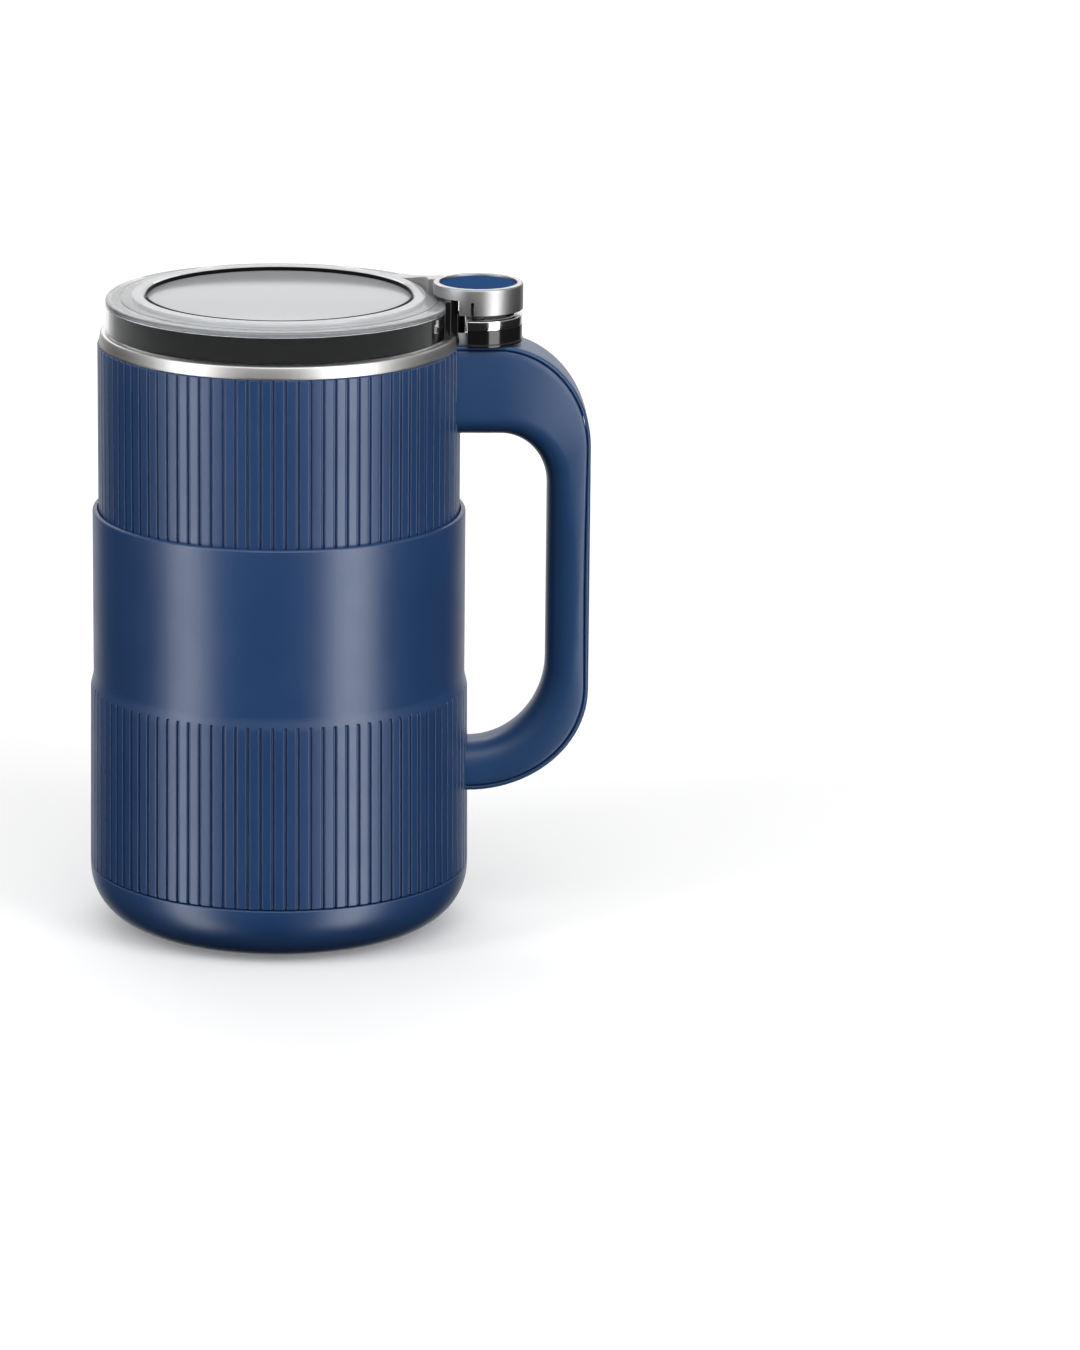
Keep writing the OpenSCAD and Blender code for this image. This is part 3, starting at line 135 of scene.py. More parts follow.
def turnedSteel(name, colour, roughness, lineSize, lineHeight, patch=0.05):
    # stainless steel brushed while it turned: fine rings round the axis break up the gloss
    material, tree, shader, place = startMaterial(
        name, colour, {"Metallic": 1.0, "Roughness": roughness, "Anisotropic": 0.6}
    )
    split = addNode(tree, "ShaderNodeSeparateXYZ", {}, {"Vector": place})
    flat = addNode(tree, "ShaderNodeVectorMath", {"operation": "MULTIPLY", 1: (1, 1, 0)}, {0: place})
    radius = addNode(tree, "ShaderNodeVectorMath", {"operation": "LENGTH"}, {0: flat.outputs["Vector"]})
    lines = addNode(
        tree, "ShaderNodeCombineXYZ", {}, {"X": radius.outputs["Value"], "Z": split.outputs["Z"]}
    )
    noise = addNode(
        tree, "ShaderNodeTexNoise", {"Scale": 1 / (lineSize * metre), "Detail": 4.0},
        {"Vector": lines.outputs["Vector"]},
    )
    bump = addNode(
        tree, "ShaderNodeBump", {"Distance": lineHeight * metre}, {"Height": noise.outputs["Fac"]}
    )
    tree.links.new(bump.outputs["Normal"], shader.inputs["Normal"])
    span = addNode(
        tree,
        "ShaderNodeMapRange",
        {"From Min": 0.3, "From Max": 0.7, "To Min": roughness - patch, "To Max": roughness + patch},
        {"Value": noise.outputs["Fac"]},
    )
    tree.links.new(span.outputs["Result"], shader.inputs["Roughness"])
    return material


def metalFinish(name, colour, roughness, size, height, patch=0.06):
    # a metal with an even cast, ground or plated surface
    material, tree, shader, place = startMaterial(name, colour, {"Metallic": 1.0, "Roughness": roughness})
    drift(tree, shader, place, size * 4, roughness, patch)
    grain(tree, shader, place, size, height)
    return material


def clearPlastic(name, colour, roughness, clarity, tint=1.0, paintedReflectionFrom=None, paintedReflectionClarity=1.0):
    # moulded AS resin: clear or slightly milky, glossy, with faint flow ripples; lamps shine through it
    material, tree, shader, place = startMaterial(name, colour, {
        "Transmission Weight": clarity, "Roughness": roughness, "IOR": 1.5,
        "Specular Tint": (tint, tint, tint, 1),
    })
    grain(tree, shader, place, 9, 0.003)
    if paintedReflectionFrom:
        # from that height up the part is milkier and paler: painted reflection of the bright background on
        # the top face
        split = addNode(tree, "ShaderNodeSeparateXYZ", {}, {"Vector": place})
        start, end = (paintedReflectionFrom - 0.3) * metre, paintedReflectionFrom * metre
        paintedReflection = addNode(
            tree,
            "ShaderNodeMapRange",
            {"From Min": start, "From Max": end, "To Min": clarity, "To Max": paintedReflectionClarity},
            {"Value": split.outputs["Z"]},
        )
        tree.links.new(paintedReflection.outputs["Result"], shader.inputs["Transmission Weight"])
    path = addNode(tree, "ShaderNodeLightPath")
    through = addNode(tree, "ShaderNodeBsdfTransparent", {"Color": linearColour("#e4e6e8")})
    mixed = addNode(
        tree,
        "ShaderNodeMixShader",
        {},
        {0: path.outputs["Is Shadow Ray"], 1: shader.outputs["BSDF"], 2: through.outputs["BSDF"]},
    )
    tree.links.new(mixed.outputs["Shader"], tree.nodes["Material Output"].inputs["Surface"])
    return material


def softRubber(name, colour, roughness, specular=0.5):
    # moulded silicone or rubber: deep black, with a soft bloom over the gloss
    material, tree, shader, place = startMaterial(
        name, colour, {"Roughness": roughness, "IOR": 1.43, "Specular IOR Level": specular}
    )
    drift(tree, shader, place, 6, roughness, 0.06)
    grain(tree, shader, place, 0.6, 0.006)
    return material


housingBlue = mouldedPlastic("abs housing blue", "#1e3d68", "#203f6b", 0.36, 0.7)
# the handle's blue is a lighter copy of the housing's blue: painted highlight for the handle's brighter lit
# side faces
handleBlueWithPaintedHighlight = mouldedPlastic("abs handle blue with painted highlight", "#23436d", "#254671", 0.36, 0.5)
buttonBlue = mouldedPlastic("abs button blue", "#234675", "#254a7b", 0.75, 0.006)
blackGloss = mouldedPlastic("abs polished black", "#141414", "#1a1a1b", 0.12, 0.5, 3.0, 0.003)
blackSatin = mouldedPlastic("abs satin black", "#161617", "#1b1b1c", 0.4, 0.45)
sealBlack = softRubber("silicone seal black", "#121212", 0.5, 0.15)
footBlack = softRubber("rubber foot black", "#1a1a1a", 0.7)
rimSteel = turnedSteel("stainless steel brushed rim", "#cfcecc", 0.36, 0.35, 0.006)
cupSteel = turnedSteel("stainless steel spun cup", "#c4c4c4", 0.3, 0.5, 0.005)
bladeSteel = metalFinish("stainless steel ground blade", "#c6c8ca", 0.22, 0.6, 0.001, 0.02)
earSilver = metalFinish("abs satin silver plate", "#b6b6b7", 0.45, 0.8, 0.003, 0.03)
brightChrome = metalFinish("chrome plate bright", "#dcdcde", 0.12, 2.0, 0.002, 0.03)
bearingSteel = metalFinish("bearing steel ground", "#b0b3b8", 0.2, 0.5, 0.002)
zincPlate = metalFinish("steel zinc plated", "#9a9ca0", 0.35, 0.8, 0.01)
laminations = metalFinish("silicon steel laminations", "#6c7076", 0.45, 0.5, 0.02)
copperWire = metalFinish("enamelled copper wire", "#b0603a", 0.3, 0.4, 0.06)
castAlloy = metalFinish("zinc alloy die cast", "#a5a7aa", 0.45, 0.9, 0.03)
brassSheet = metalFinish("brass stamped", "#c2a05a", 0.3, 0.6, 0.004)
carbonBlock = softRubber("carbon pressed", "#222222", 0.6, 0.3)
nylonNatural = mouldedPlastic("nylon natural", "#d2d0c6", "#dad8cf", 0.5, 0.45)
boardGreen = mouldedPlastic("fr4 solder mask green", "#1d4a30", "#215437", 0.3, 0.5, 1.2, 0.01)
filmYellow = mouldedPlastic("polyester film case yellow", "#c08a2c", "#c99334", 0.3, 0.5)
leadBrown = mouldedPlastic("pvc insulation brown", "#7a4a30", "#825035", 0.4, 0.5)
# the lid's top face is made milky white from just under its top: painted reflection of the bright background
clearLid = clearPlastic(
    "as resin clear lid", "#eceeef", 0.03, 1.0,
    tint=0.45, paintedReflectionFrom=side("lid_shell", "z+") - 0.5, paintedReflectionClarity=0.55,
)
clearWindow = clearPlastic("as resin window", "#bdbec0", 0.16, 0.08)
clearBezel = clearPlastic("as resin bezel", "#dcdcde", 0.05, 0.4)
print("materials made:", len(bpy.data.materials))


# Ways of making a piece

def finishPiece(bm, name, body, material, node, sharp=32):
    bmesh.ops.remove_doubles(bm, verts=bm.verts, dist=0.002)
    bmesh.ops.recalc_face_normals(bm, faces=bm.faces)
    bmesh.ops.scale(bm, vec=(metre, metre, metre), verts=bm.verts)
    mesh = bpy.data.meshes.new(name)
    bm.to_mesh(mesh)
    bm.free()
    mesh.shade_smooth()
    mesh.set_sharp_from_angle(angle=radians(sharp))
    mesh.materials.append(material)
    piece = bpy.data.objects.new(name, mesh)
    bpy.context.scene.collection.objects.link(piece)
    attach(piece, body)
    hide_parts(node)
    return piece


def softened(points):
    # a (radius, height, rounding) corner becomes an arc, a (radius, height) corner stays sharp
    outline = []
    for before, here, after in zip(points[-1:] + points[:-1], points, points[1:] + points[:1]):
        corner = Vector(here[:2])
        if len(here) == 2:
            outline.append(corner)
            continue
        rounding = here[2]
        back = (Vector(before[:2]) - corner).normalized()
        onward = (Vector(after[:2]) - corner).normalized()
        half = back.angle(onward) / 2
        centre = corner + (back + onward).normalized() * rounding / sin(half)
        first = (corner + back * rounding / tan(half) - centre).normalized()
        last = (corner + onward * rounding / tan(half) - centre).normalized()
        steps = int(3 + 3 * sqrt(rounding))
        outline += [centre + first.slerp(last, i / steps) * rounding for i in range(steps + 1)]
    return outline


def spunSolid(points, steps=192, centre=0.0):
    # a closed outline turned round an upright axis at x = centre
    bm = bmesh.new()
    verts = [bm.verts.new((centre + p[0], 0, p[1])) for p in softened(points)]
    edges = [bm.edges.new(pair) for pair in zip(verts, verts[1:] + verts[:1])]
    bmesh.ops.spin(
        bm, geom=verts + edges, cent=(centre, 0, 0), axis=upAxis, angle=2 * pi, steps=steps, use_merge=True
    )
    bmesh.ops.remove_doubles(bm, verts=bm.verts, dist=0.0005)
    return bm


def bevelEdges(bm, edges, rounding, segments=3):
    bmesh.ops.bevel(
        bm, geom=edges, offset=rounding, offset_type="OFFSET", segments=segments, profile=0.5,
        affect="EDGES", material=-1, clamp_overlap=True,
    )


def bevelSharp(bm, rounding, angle):
    edges = [e for e in bm.edges if len(e.link_faces) == 2 and e.calc_face_angle() > radians(angle)]
    bevelEdges(bm, edges, rounding, 2)


def blockSolid(low, high, rounding=0.0):
    bm = bmesh.new()
    bmesh.ops.create_cube(bm, size=1)
    bmesh.ops.scale(bm, vec=[b - a for a, b in zip(low, high)], verts=bm.verts)
    bmesh.ops.translate(bm, vec=[(a + b) / 2 for a, b in zip(low, high)], verts=bm.verts)
    if rounding:
        bevelEdges(bm, bm.edges[:], rounding)
    return bm


def pinSolid(radius, low, top, segments):
    # an upright cylinder, or a hexagon with six segments
    bm = bmesh.new()
    tall = top - low
    bmesh.ops.create_cone(bm, cap_ends=True, segments=segments, radius1=radius, radius2=radius, depth=tall)
    bmesh.ops.translate(bm, vec=(0, 0, (low + top) / 2), verts=bm.verts)
    return bm


def edgesAlong(bm, axis):
    # the edges that run along x, y or z
    i = "xyz".index(axis)
    return [e for e in bm.edges if abs(e.verts[0].co[i] - e.verts[1].co[i]) > 1]


def joined(*parts):
    bm = bmesh.new()
    for part in parts:
        mesh = bpy.data.meshes.new("joining")
        part.to_mesh(mesh)
        part.free()
        bm.from_mesh(mesh)
        bpy.data.meshes.remove(mesh)
    return bm


def boolean(bm, tool, operation="DIFFERENCE"):
    made = []
    for part in (bm, tool):
        bmesh.ops.recalc_face_normals(part, faces=part.faces)
        mesh = bpy.data.meshes.new("boolean")
        part.to_mesh(mesh)
        part.free()
        made.append(bpy.data.objects.new("boolean", mesh))
        bpy.context.scene.collection.objects.link(made[-1])
    cut = made[0].modifiers.new("cut", "BOOLEAN")
    cut.object = made[1]
    cut.operation = operation
    cut.solver = "EXACT"
    cut.use_self = True
    shaped = bpy.data.meshes.new_from_object(made[0].evaluated_get(bpy.context.evaluated_depsgraph_get()))
    result = bmesh.new()
    result.from_mesh(shaped)
    bpy.data.meshes.remove(shaped)
    for obj in made:
        mesh = obj.data
        bpy.data.objects.remove(obj)
        bpy.data.meshes.remove(mesh)
    return result


def loft(rings):
    # a closed skin through rings of as many points, capped at both ends
    bm = bmesh.new()
    verts = [bm.verts.new(p) for p in rings[0]]
    edges = [bm.edges.new(pair) for pair in zip(verts, verts[1:] + verts[:1])]
    bm.faces.new(verts)
    for ring in rings[1:]:
        made = bmesh.ops.extrude_edge_only(bm, edges=edges)["geom"]
        twins = {e.co.to_tuple(3): e for e in made if isinstance(e, bmesh.types.BMVert)}
        fresh = [twins[v.co.to_tuple(3)] for v in verts]
        edges = [e for e in made if isinstance(e, bmesh.types.BMEdge)]
        for v, place in zip(fresh, ring):
            v.co = place
        verts = fresh
    bm.faces.new(verts)
    return bm


# Housings

# Half of a groove: millimetres off its middle, and the share of its depth there
grooveShape = (
    (0.0, 1.0), (0.16, 0.98), (0.3, 0.9), (0.41, 0.74), (0.49, 0.48),
    (0.55, 0.22), (0.62, 0.08), (0.71, 0.02), (0.82, 0.0), (0.95, 0.0),
)


def flutedShell(outline, flutes, depth, inner, highest, runOut):
    # one flute's share of the ring is turned column by column, and then copied round
    pitch = 2 * pi / flutes
    outerRadius = max(p[0] for p in outline)
    half = [(offset / outerRadius, share) for offset, share in grooveShape]
    columns = [(-pitch / 2, 0.0)] + [(-a, s) for a, s in half[:0:-1]] + half + [(pitch / 2, 0.0)]
    bm = bmesh.new()
    verts = [bm.verts.new((r, 0, z)) for r, z in outline]
    geom = verts + [bm.edges.new(pair) for pair in zip(verts, verts[1:] + verts[:1])]
    sunkColumns = []
    for (before, _), (angle, share) in zip(columns, columns[1:]):
        turned = bmesh.ops.spin(
            bm, geom=geom, cent=(0, 0, 0), axis=upAxis, angle=angle - before, steps=1, use_merge=False
        )
        geom = turned["geom_last"]
        sunkColumns.append((share, [e for e in geom if isinstance(e, bmesh.types.BMVert)]))
    for share, verts in sunkColumns:
        for v in verts:
            radius = hypot(v.co.x, v.co.y)
            if radius > inner and v.co.z < highest:
                up = max(0.0, v.co.z - (highest - runOut)) / runOut
                sunk = depth * share * sqrt(max(0.0, 1 - up * up))
                v.co.x *= (radius - sunk) / radius
                v.co.y *= (radius - sunk) / radius
    bmesh.ops.spin(
        bm, geom=bm.verts[:] + bm.edges[:] + bm.faces[:], cent=(0, 0, 0), axis=upAxis,
        angle=pitch * (flutes - 1), steps=flutes - 1, use_duplicate=True,
    )
    bmesh.ops.remove_doubles(bm, verts=bm.verts, dist=0.004)
    return bm


spigotLength = 14.0  # the upper housing sits that deep in the lower one


def makeLowerHousing():
    p = {
        "flutes": 96, "depth": 0.85, "runOut": 1.3, "grooveTop": 84.2, "stepFrom": 82.4, "stepTo": 88.0,
        "waist": 63.1, "land": 64.05, "lip": 0.9, "lipSteps": 5, "seat": 61.4, "bore": 60.6, "fluted": 62,
        "edge": 0.35, "windowX": 2.4, "windowZ": 1.9,
    }
    ribs = -side("lower_housing", "x-")
    low = side("lower_housing", "z-")
    top = side("lower_housing", "z+")
    socket = side("upper_housing", "z-") + spigotLength
    # heights of the wall's points, close together where the grooves run out into the waist
    rows = [low + p["edge"], 40, 60, 80, 82.2, 82.8, 83.1, 83.4, 83.65, 83.85, 84.0, 84.1]
    rows += [84.3 + i * 0.37 for i in range(11)] + [100, 125]

    def wall(z):
        # the lands lean in a little towards the waist and pass into it without an edge
        lean = ribs + (p["land"] - ribs) * (z - low) / (p["grooveTop"] - low)
        u = min(max((z - p["stepFrom"]) / (p["stepTo"] - p["stepFrom"]), 0), 1)
        return lean + (p["waist"] - lean) * u * u * (3 - 2 * u)

    lip = p["lip"]
    turns = [radians(90 * i / p["lipSteps"]) for i in range(p["lipSteps"] + 1)]
    outline = [(ribs - p["edge"], low)] + [(wall(z), z) for z in rows]
    outline += [(p["waist"] - lip + lip * cos(a), top - lip + lip * sin(a)) for a in turns]
    outline += [(p["seat"] + 0.2, top), (p["seat"] + 0.02, top - 0.2), (p["seat"], socket)]
    outline += [(p["bore"], socket), (p["bore"], low)]
    bm = flutedShell(outline, p["flutes"], p["depth"], p["fluted"], p["grooveTop"], p["runOut"])
    left, right, under, over = [side("mains_inlet", w) for w in ("x-", "x+", "z-", "z+")]
    window = blockSolid(
        (left + p["windowX"], p["waist"] - 20, under + p["windowZ"]),
        (right - p["windowX"], p["waist"] + 20, over - p["windowZ"]),
    )
    bm = boolean(bm, window)
    return finishPiece(bm, "lowerHousing", "root", housingBlue, "lower_housing", 40)


def makeUpperHousing():
    p = {
        "flutes": 92, "depth": 0.8, "runOut": 1.0, "outer": 61.1, "bore": 58.0, "spigot": 60.3, "edge": 0.3,
        "fluted": 60.5,
    }
    outer = p["outer"]
    top = side("upper_housing", "z+")
    low = side("upper_housing", "z-")
    socket = low + spigotLength
    # the wall's two middle points keep its faces short
    outline = [
        (outer, socket), (outer, 160), (outer, 180), (outer, top - p["edge"]), (outer - p["edge"], top),
        (p["bore"], top), (p["bore"], low), (p["spigot"], low), (p["spigot"], socket),
    ]
    above = top + 9  # the grooves are open at the top edge
    bm = flutedShell(outline, p["flutes"], p["depth"], p["fluted"], above, p["runOut"])
    return finishPiece(bm, "upperHousing", "root", housingBlue, "upper_housing", 40)


def makeBaseCover():
    p = {
        "corner": 19.0, "insideCorner": 13.0, "wall": 2.4,
        "bore": 60.5, "spigot": 2.0, "spigotDeep": 2.0, "slopeEnd": 3.2,
        "vents": 24, "ventFrom": 26, "ventTo": 34, "ventWidth": 2.2, "ventEnd": 1.05,
        "footInner": 36.45, "footOuter": 42.55, "footDeep": 2.6,
        "wellAngles": (30, 150, 270), "wellRing": 48, "wellRadius": 3.5, "wellTop": 7.9,
    }
    outer = side("base_cover", "x+")
    low = side("base_cover", "z-")
    seam = side("lower_housing", "z-") - 0.3
    top = side("base_cover", "z+")
    inner = outer - p["wall"]
    bm = spunSolid([
        (0, low), (outer, low, p["corner"]), (outer, seam, 0.5), (p["bore"], seam), (p["bore"], top),
        (p["bore"] - p["spigot"], top), (p["bore"] - p["spigot"], seam - p["spigotDeep"]),
        (inner, seam - p["slopeEnd"]),
        (inner, low + p["wall"], p["insideCorner"]), (0, low + p["wall"]),
    ], 256)
    holes = [spunSolid([
        (p["footInner"], low - 1), (p["footOuter"], low - 1), (p["footOuter"], p["footDeep"]),
        (p["footInner"], p["footDeep"]),
    ], 192)]
    for i in range(p["vents"]):
        slot = blockSolid((p["ventFrom"], -p["ventWidth"] / 2, -1), (p["ventTo"], p["ventWidth"] / 2, 9))
        bevelEdges(slot, edgesAlong(slot, "z"), p["ventEnd"], 4)
        turned = Matrix.Rotation(2 * pi * i / p["vents"], 3, "Z")
        bmesh.ops.rotate(slot, cent=(0, 0, 0), matrix=turned, verts=slot.verts)
        holes.append(slot)
    for angle in p["wellAngles"]:
        well = pinSolid(p["wellRadius"], p["wellTop"] - 14, p["wellTop"], 32)
        a = radians(angle)
        bmesh.ops.translate(well, vec=(p["wellRing"] * cos(a), p["wellRing"] * sin(a), 0), verts=well.verts)
        holes.append(well)
    bm = boolean(bm, joined(*holes))
    return finishPiece(bm, "baseCover", "root", housingBlue, "base_cover", 30)


def makeFootRing():
    p = {"width": 6.0, "bead": 2.0, "groove": 0.4}
    low, top = side("foot_ring", "z-"), side("foot_ring", "z+")
    outer = side("foot_ring", "x+")
    inner = outer - p["width"]
    grooveIn, grooveOut = inner + p["bead"] + p["groove"], outer - p["bead"] - p["groove"]
    bm = spunSolid([
        (inner, top), (inner, low, 0.35), (inner + p["bead"], low, 0.2), (grooveIn, low + p["groove"]),
        (grooveOut, low + p["groove"]), (outer - p["bead"], low, 0.2), (outer, low, 0.35), (outer, top),
    ])
    return finishPiece(bm, "footRing", "root", footBlack, "foot_ring")


makeLowerHousing()
makeUpperHousing()
makeBaseCover()
makeFootRing()
print("housings made")


# Cup, rim and blades

def makeRimRing():
    p = {"lip": 54.6, "skirt": 58.8, "straight": 0.6, "taper": 0.6, "sheet": 1.0}
    outer = side("rim_ring", "x+")
    low, top = side("rim_ring", "z-"), side("rim_ring", "z+")
    bm = spunSolid([
        (p["skirt"], low), (outer, low, 0.25), (outer, low + p["straight"], 0.3),
        (outer - p["taper"], top, 0.75), (p["lip"], top, 0.3), (p["lip"], top - p["sheet"]),
        (p["skirt"], top - p["sheet"]),
    ], 256)
    return finishPiece(bm, "rimRing", "root", rimSteel, "rim_ring", 40)


def makeGrindingCup():
    p = {"wall": 0.9, "inside": 54.0, "corner": 11.0, "hub": 8.0, "hubHeight": 6.0}
    low, top = side("grinding_cup", "z-"), side("grinding_cup", "z+")
    flange = side("grinding_cup", "x+")
    floor = low + p["wall"]
    hubTop = floor + p["hubHeight"]
    bore = p["hub"] - p["wall"]
    outside = p["inside"] + p["wall"]
    bm = spunSolid([
        (bore, low), (bore, hubTop), (p["hub"], hubTop, 0.4), (p["hub"], floor),
        (p["inside"], floor, p["corner"]), (p["inside"], top, 0.4), (flange, top),
        (flange, top - p["wall"]), (outside, top - p["wall"]), (outside, low, p["corner"] + p["wall"]),
    ], 192)
    return finishPiece(bm, "grindingCup", "root", cupSteel, "grinding_cup")


def makeBlade(name, node, reach, tipAngle, turn):
    # a flat strip whose ends bend up, with a ground slope on each leading edge
    p = {"width": 13.0, "thick": 1.8, "bend": 20.0, "cut": 7.0, "tipEdge": 4.0, "bore": 4.0, "ground": 3.0}
    half, bend, cut, edge = p["width"] / 2, p["bend"], p["cut"], p["tipEdge"]
    low = side(node, "z-")
    bm = bmesh.new()
    plan = [
        (-bend, -half), (0, -half), (bend, -half), (reach - cut, -half), (reach, half - edge), (reach, half),
        (bend, half), (0, half), (-bend, half), (cut - reach, half), (-reach, edge - half), (-reach, -half),
    ]
    face = bm.faces.new([bm.verts.new((x, y, 0)) for x, y in plan])
    raised = bmesh.ops.extrude_face_region(bm, geom=[face])["geom"]
    upper = [e for e in raised if isinstance(e, bmesh.types.BMVert)]
    bmesh.ops.translate(bm, vec=(0, 0, p["thick"]), verts=upper)
    for x in (-bend, bend):
        everything = bm.verts[:] + bm.edges[:] + bm.faces[:]
        bmesh.ops.bisect_plane(bm, geom=everything, plane_co=(x, 0, 0), plane_no=(1, 0, 0))
    for v in bm.verts:
        hand = 1 if v.co.x > 0 else -1
        tip = abs(v.co.x) > reach - 1
        leading = v.co.y * hand < -half + 0.1 or tip
        if v.co.z > 0.1 and leading and abs(v.co.x) > bend - 1:
            v.co.y += p["ground"] * hand * (0.5 if tip else 1)
        v.co.z += max(0.0, abs(v.co.x) - bend) * tan(radians(tipAngle))
    bm = boolean(bm, pinSolid(p["bore"], -p["thick"], 2 * p["thick"], 32))
    bevelSharp(bm, 0.15, 50)
    bmesh.ops.rotate(bm, cent=(0, 0, 0), matrix=Matrix.Rotation(radians(turn), 3, "Z"), verts=bm.verts)
    bmesh.ops.translate(bm, vec=(0, 0, low), verts=bm.verts)
    return finishPiece(bm, name, "rotor", bladeSteel, node)


def makeBladeNut():
    p = {"bore": 4.0, "chamfer": 0.7, "crown": 1.2, "crownDeep": 0.9}
    low, top = side("blade_nut", "z-"), side("blade_nut", "z+")
    radius = side("blade_nut", "x+")
    bore, wide, crown = p["bore"], p["bore"] + p["chamfer"], radius - p["crown"]
    bm = pinSolid(radius, low, top, 6)
    bmesh.ops.rotate(bm, cent=(0, 0, 0), matrix=Matrix.Rotation(radians(30), 3, "Z"), verts=bm.verts)
    hole = spunSolid([
        (0, low - 1), (bore, low - 1), (bore, top - 0.5), (wide, top + 0.2), (wide, top + 1), (0, top + 1),
    ], 32)
    bm = boolean(bm, hole)
    dome = spunSolid([
        (0, low - 1), (radius + 1, low - 1), (radius + 1, low), (radius, low + 0.1),
        (radius, top - p["crownDeep"]), (crown, top), (crown, top + 1), (0, top + 1),
    ], 48)
    bm = boolean(bm, dome, "INTERSECT")
    return finishPiece(bm, "bladeNut", "rotor", bladeSteel, "blade_nut")


makeRimRing()
makeGrindingCup()
makeBlade("lowerBlade", "lower_blade", reach=44.0, tipAngle=12, turn=0)
makeBlade("upperBlade", "upper_blade", reach=40.0, tipAngle=35, turn=90)
makeBladeNut()
print("rim, cup and blades made")


# Lid

lidSize = {
    "outer": side("lid_shell", "y+"), "low": side("lid_shell", "z-"), "top": side("lid_shell", "z+"),
    "wall": 1.7, "roof": 2.0, "ledge": 2.2, "ledgeThick": 1.4,
    "notchX": side("lid_shell", "x+"), "notchHalf": 18.5,
    "line": side("lid_shell", "y+") - 5.2, "lineWidth": 0.7, "lineDepth": 0.5,
    "ring": side("lid_bezel", "y+") - 4.6,
}


def notchBlock(x):
    n = lidSize
    return blockSolid((x, -n["notchHalf"], n["low"] - 9), (x + 30, n["notchHalf"], n["top"] + 9))


def makeLidShell():
    n = lidSize
    window = side("lid_window", "y+") + 0.1
    inner, top, roof = n["outer"] - n["wall"], n["top"], n["top"] - n["roof"]
    step = side("lid_window", "z-")
    ledge, ledgeLow = window - n["ledge"], step - n["ledgeThick"]
    line, lineOuter, lineLow = n["line"], n["line"] + n["lineWidth"], top - n["lineDepth"]
    bm = spunSolid([
        (inner, n["low"]), (n["outer"], n["low"], 0.3), (n["outer"], top, 1.0), (lineOuter, top, 0.15),
        (lineOuter, lineLow), (line, lineLow), (line, top, 0.15), (window, top), (window, step),
        (ledge, step), (ledge, ledgeLow), (window + 1, ledgeLow), (window + 1.6, roof), (inner, roof, 0.5),
    ], 256)
    bm = boolean(bm, notchBlock(n["notchX"]))
    return finishPiece(bm, "lidShell", "lid", clearLid, "lid_shell")


def makeLidWindow():
    low, top = side("lid_window", "z-"), side("lid_window", "z+")
    outer = side("lid_window", "y+")
    bm = spunSolid([(0, low), (outer, low), (outer, top - 0.1, 0.1), (0, top)], 192)
    return finishPiece(bm, "lidWindow", "lid", clearWindow, "lid_window")


def makeLidBezel():
    p = {"slope": 1.2, "slopeDeep": 0.7}
    low, top = side("lid_bezel", "z-"), side("lid_bezel", "z+")
    outer, inner = side("lid_bezel", "y+"), lidSize["ring"]
    bm = spunSolid([
        (inner, low), (outer, low), (outer, top, 0.55), (inner + p["slope"], top, 0.3),
        (inner, top - p["slopeDeep"], 0.2),
    ], 256)
    return finishPiece(bm, "lidBezel", "lid", clearBezel, "lid_bezel")


def makeLidSeal():
    # a grooved plug, a flat flange, the band behind the clear wall, and a thin black ring inside the bezel
    # that is painted shade on the window recess's inner wall
    p = {
        "plug": 53.7, "wall": 3.2, "leadIn": 0.6, "leadTall": 1.2, "groove": 0.5, "grooveUp": 2.8,
        "grooveHalf": 0.4, "band": 1.5, "flange": 1.8, "shadeRingGap": 0.02, "shadeRingThick": 0.33,
    }
    low, top = side("lid_seal", "z-"), side("lid_seal", "z+")
    outer = side("lid_seal", "y+")
    ledge = side("lid_shell", "z-")
    plug, inner, band = p["plug"], p["plug"] - p["wall"], outer - p["band"]
    groove, half = low + p["grooveUp"], p["grooveHalf"]
    bm = spunSolid([
        (inner, low), (plug - p["leadIn"], low, 0.3), (plug, low + p["leadTall"]),
        (plug, groove - half), (plug - p["groove"], groove), (plug, groove + half),
        (plug, ledge), (outer, ledge, 0.25), (outer, top, 0.5), (band, top, 0.4),
        (band, ledge + p["flange"], 0.4), (inner, ledge + p["flange"], 0.5),
    ], 256)
    bm = boolean(bm, notchBlock(side("lid_seal", "x+")))
    # the thin black ring from the window's top up to the bezel's top is painted shade: it darkens the recess
    # round the window
    ring = lidSize["ring"] - p["shadeRingGap"]
    inside = ring - p["shadeRingThick"]
    sill, brim = side("lid_window", "z+"), side("lid_bezel", "z+") - 0.05
    bm = joined(bm, spunSolid([(inside, sill), (ring, sill), (ring, brim), (inside, brim)], 256))
    return finishPiece(bm, "lidSeal", "lid", sealBlack, "lid_seal")


lidShell = makeLidShell()
makeLidWindow()
makeLidBezel()
lidSeal = makeLidSeal()
print("lid made")


# Ear, button and switch post

earSize = {
    "x": (side("button_cap", "x-") + side("button_cap", "x+")) / 2,
    "outer": 15.2, "bore": 13.1, "top": side("lid_ear", "z+"), "skirt": side("lid_ear", "z-"),
    "clearRadius": 61.6, "clearHeight": side("lid_shell", "z+") + 1.5,
    "slitX": 64.0, "slitWidth": 1.0, "slitTop": 4.6, "slitNear": -17, "slitFar": -11,
}
postSize = {
    "outer": 15.0, "inner": 12.2, "collar": 0.3, "collarTall": 0.8, "roof": 1.2, "hole": 2.05,
    "clear": 61.3, "faceX": 62.9,
}


def discSolid(radius, low, top, x=0.0):
    return spunSolid([(0, low), (radius, low), (radius, top), (0, top)], 128, x)


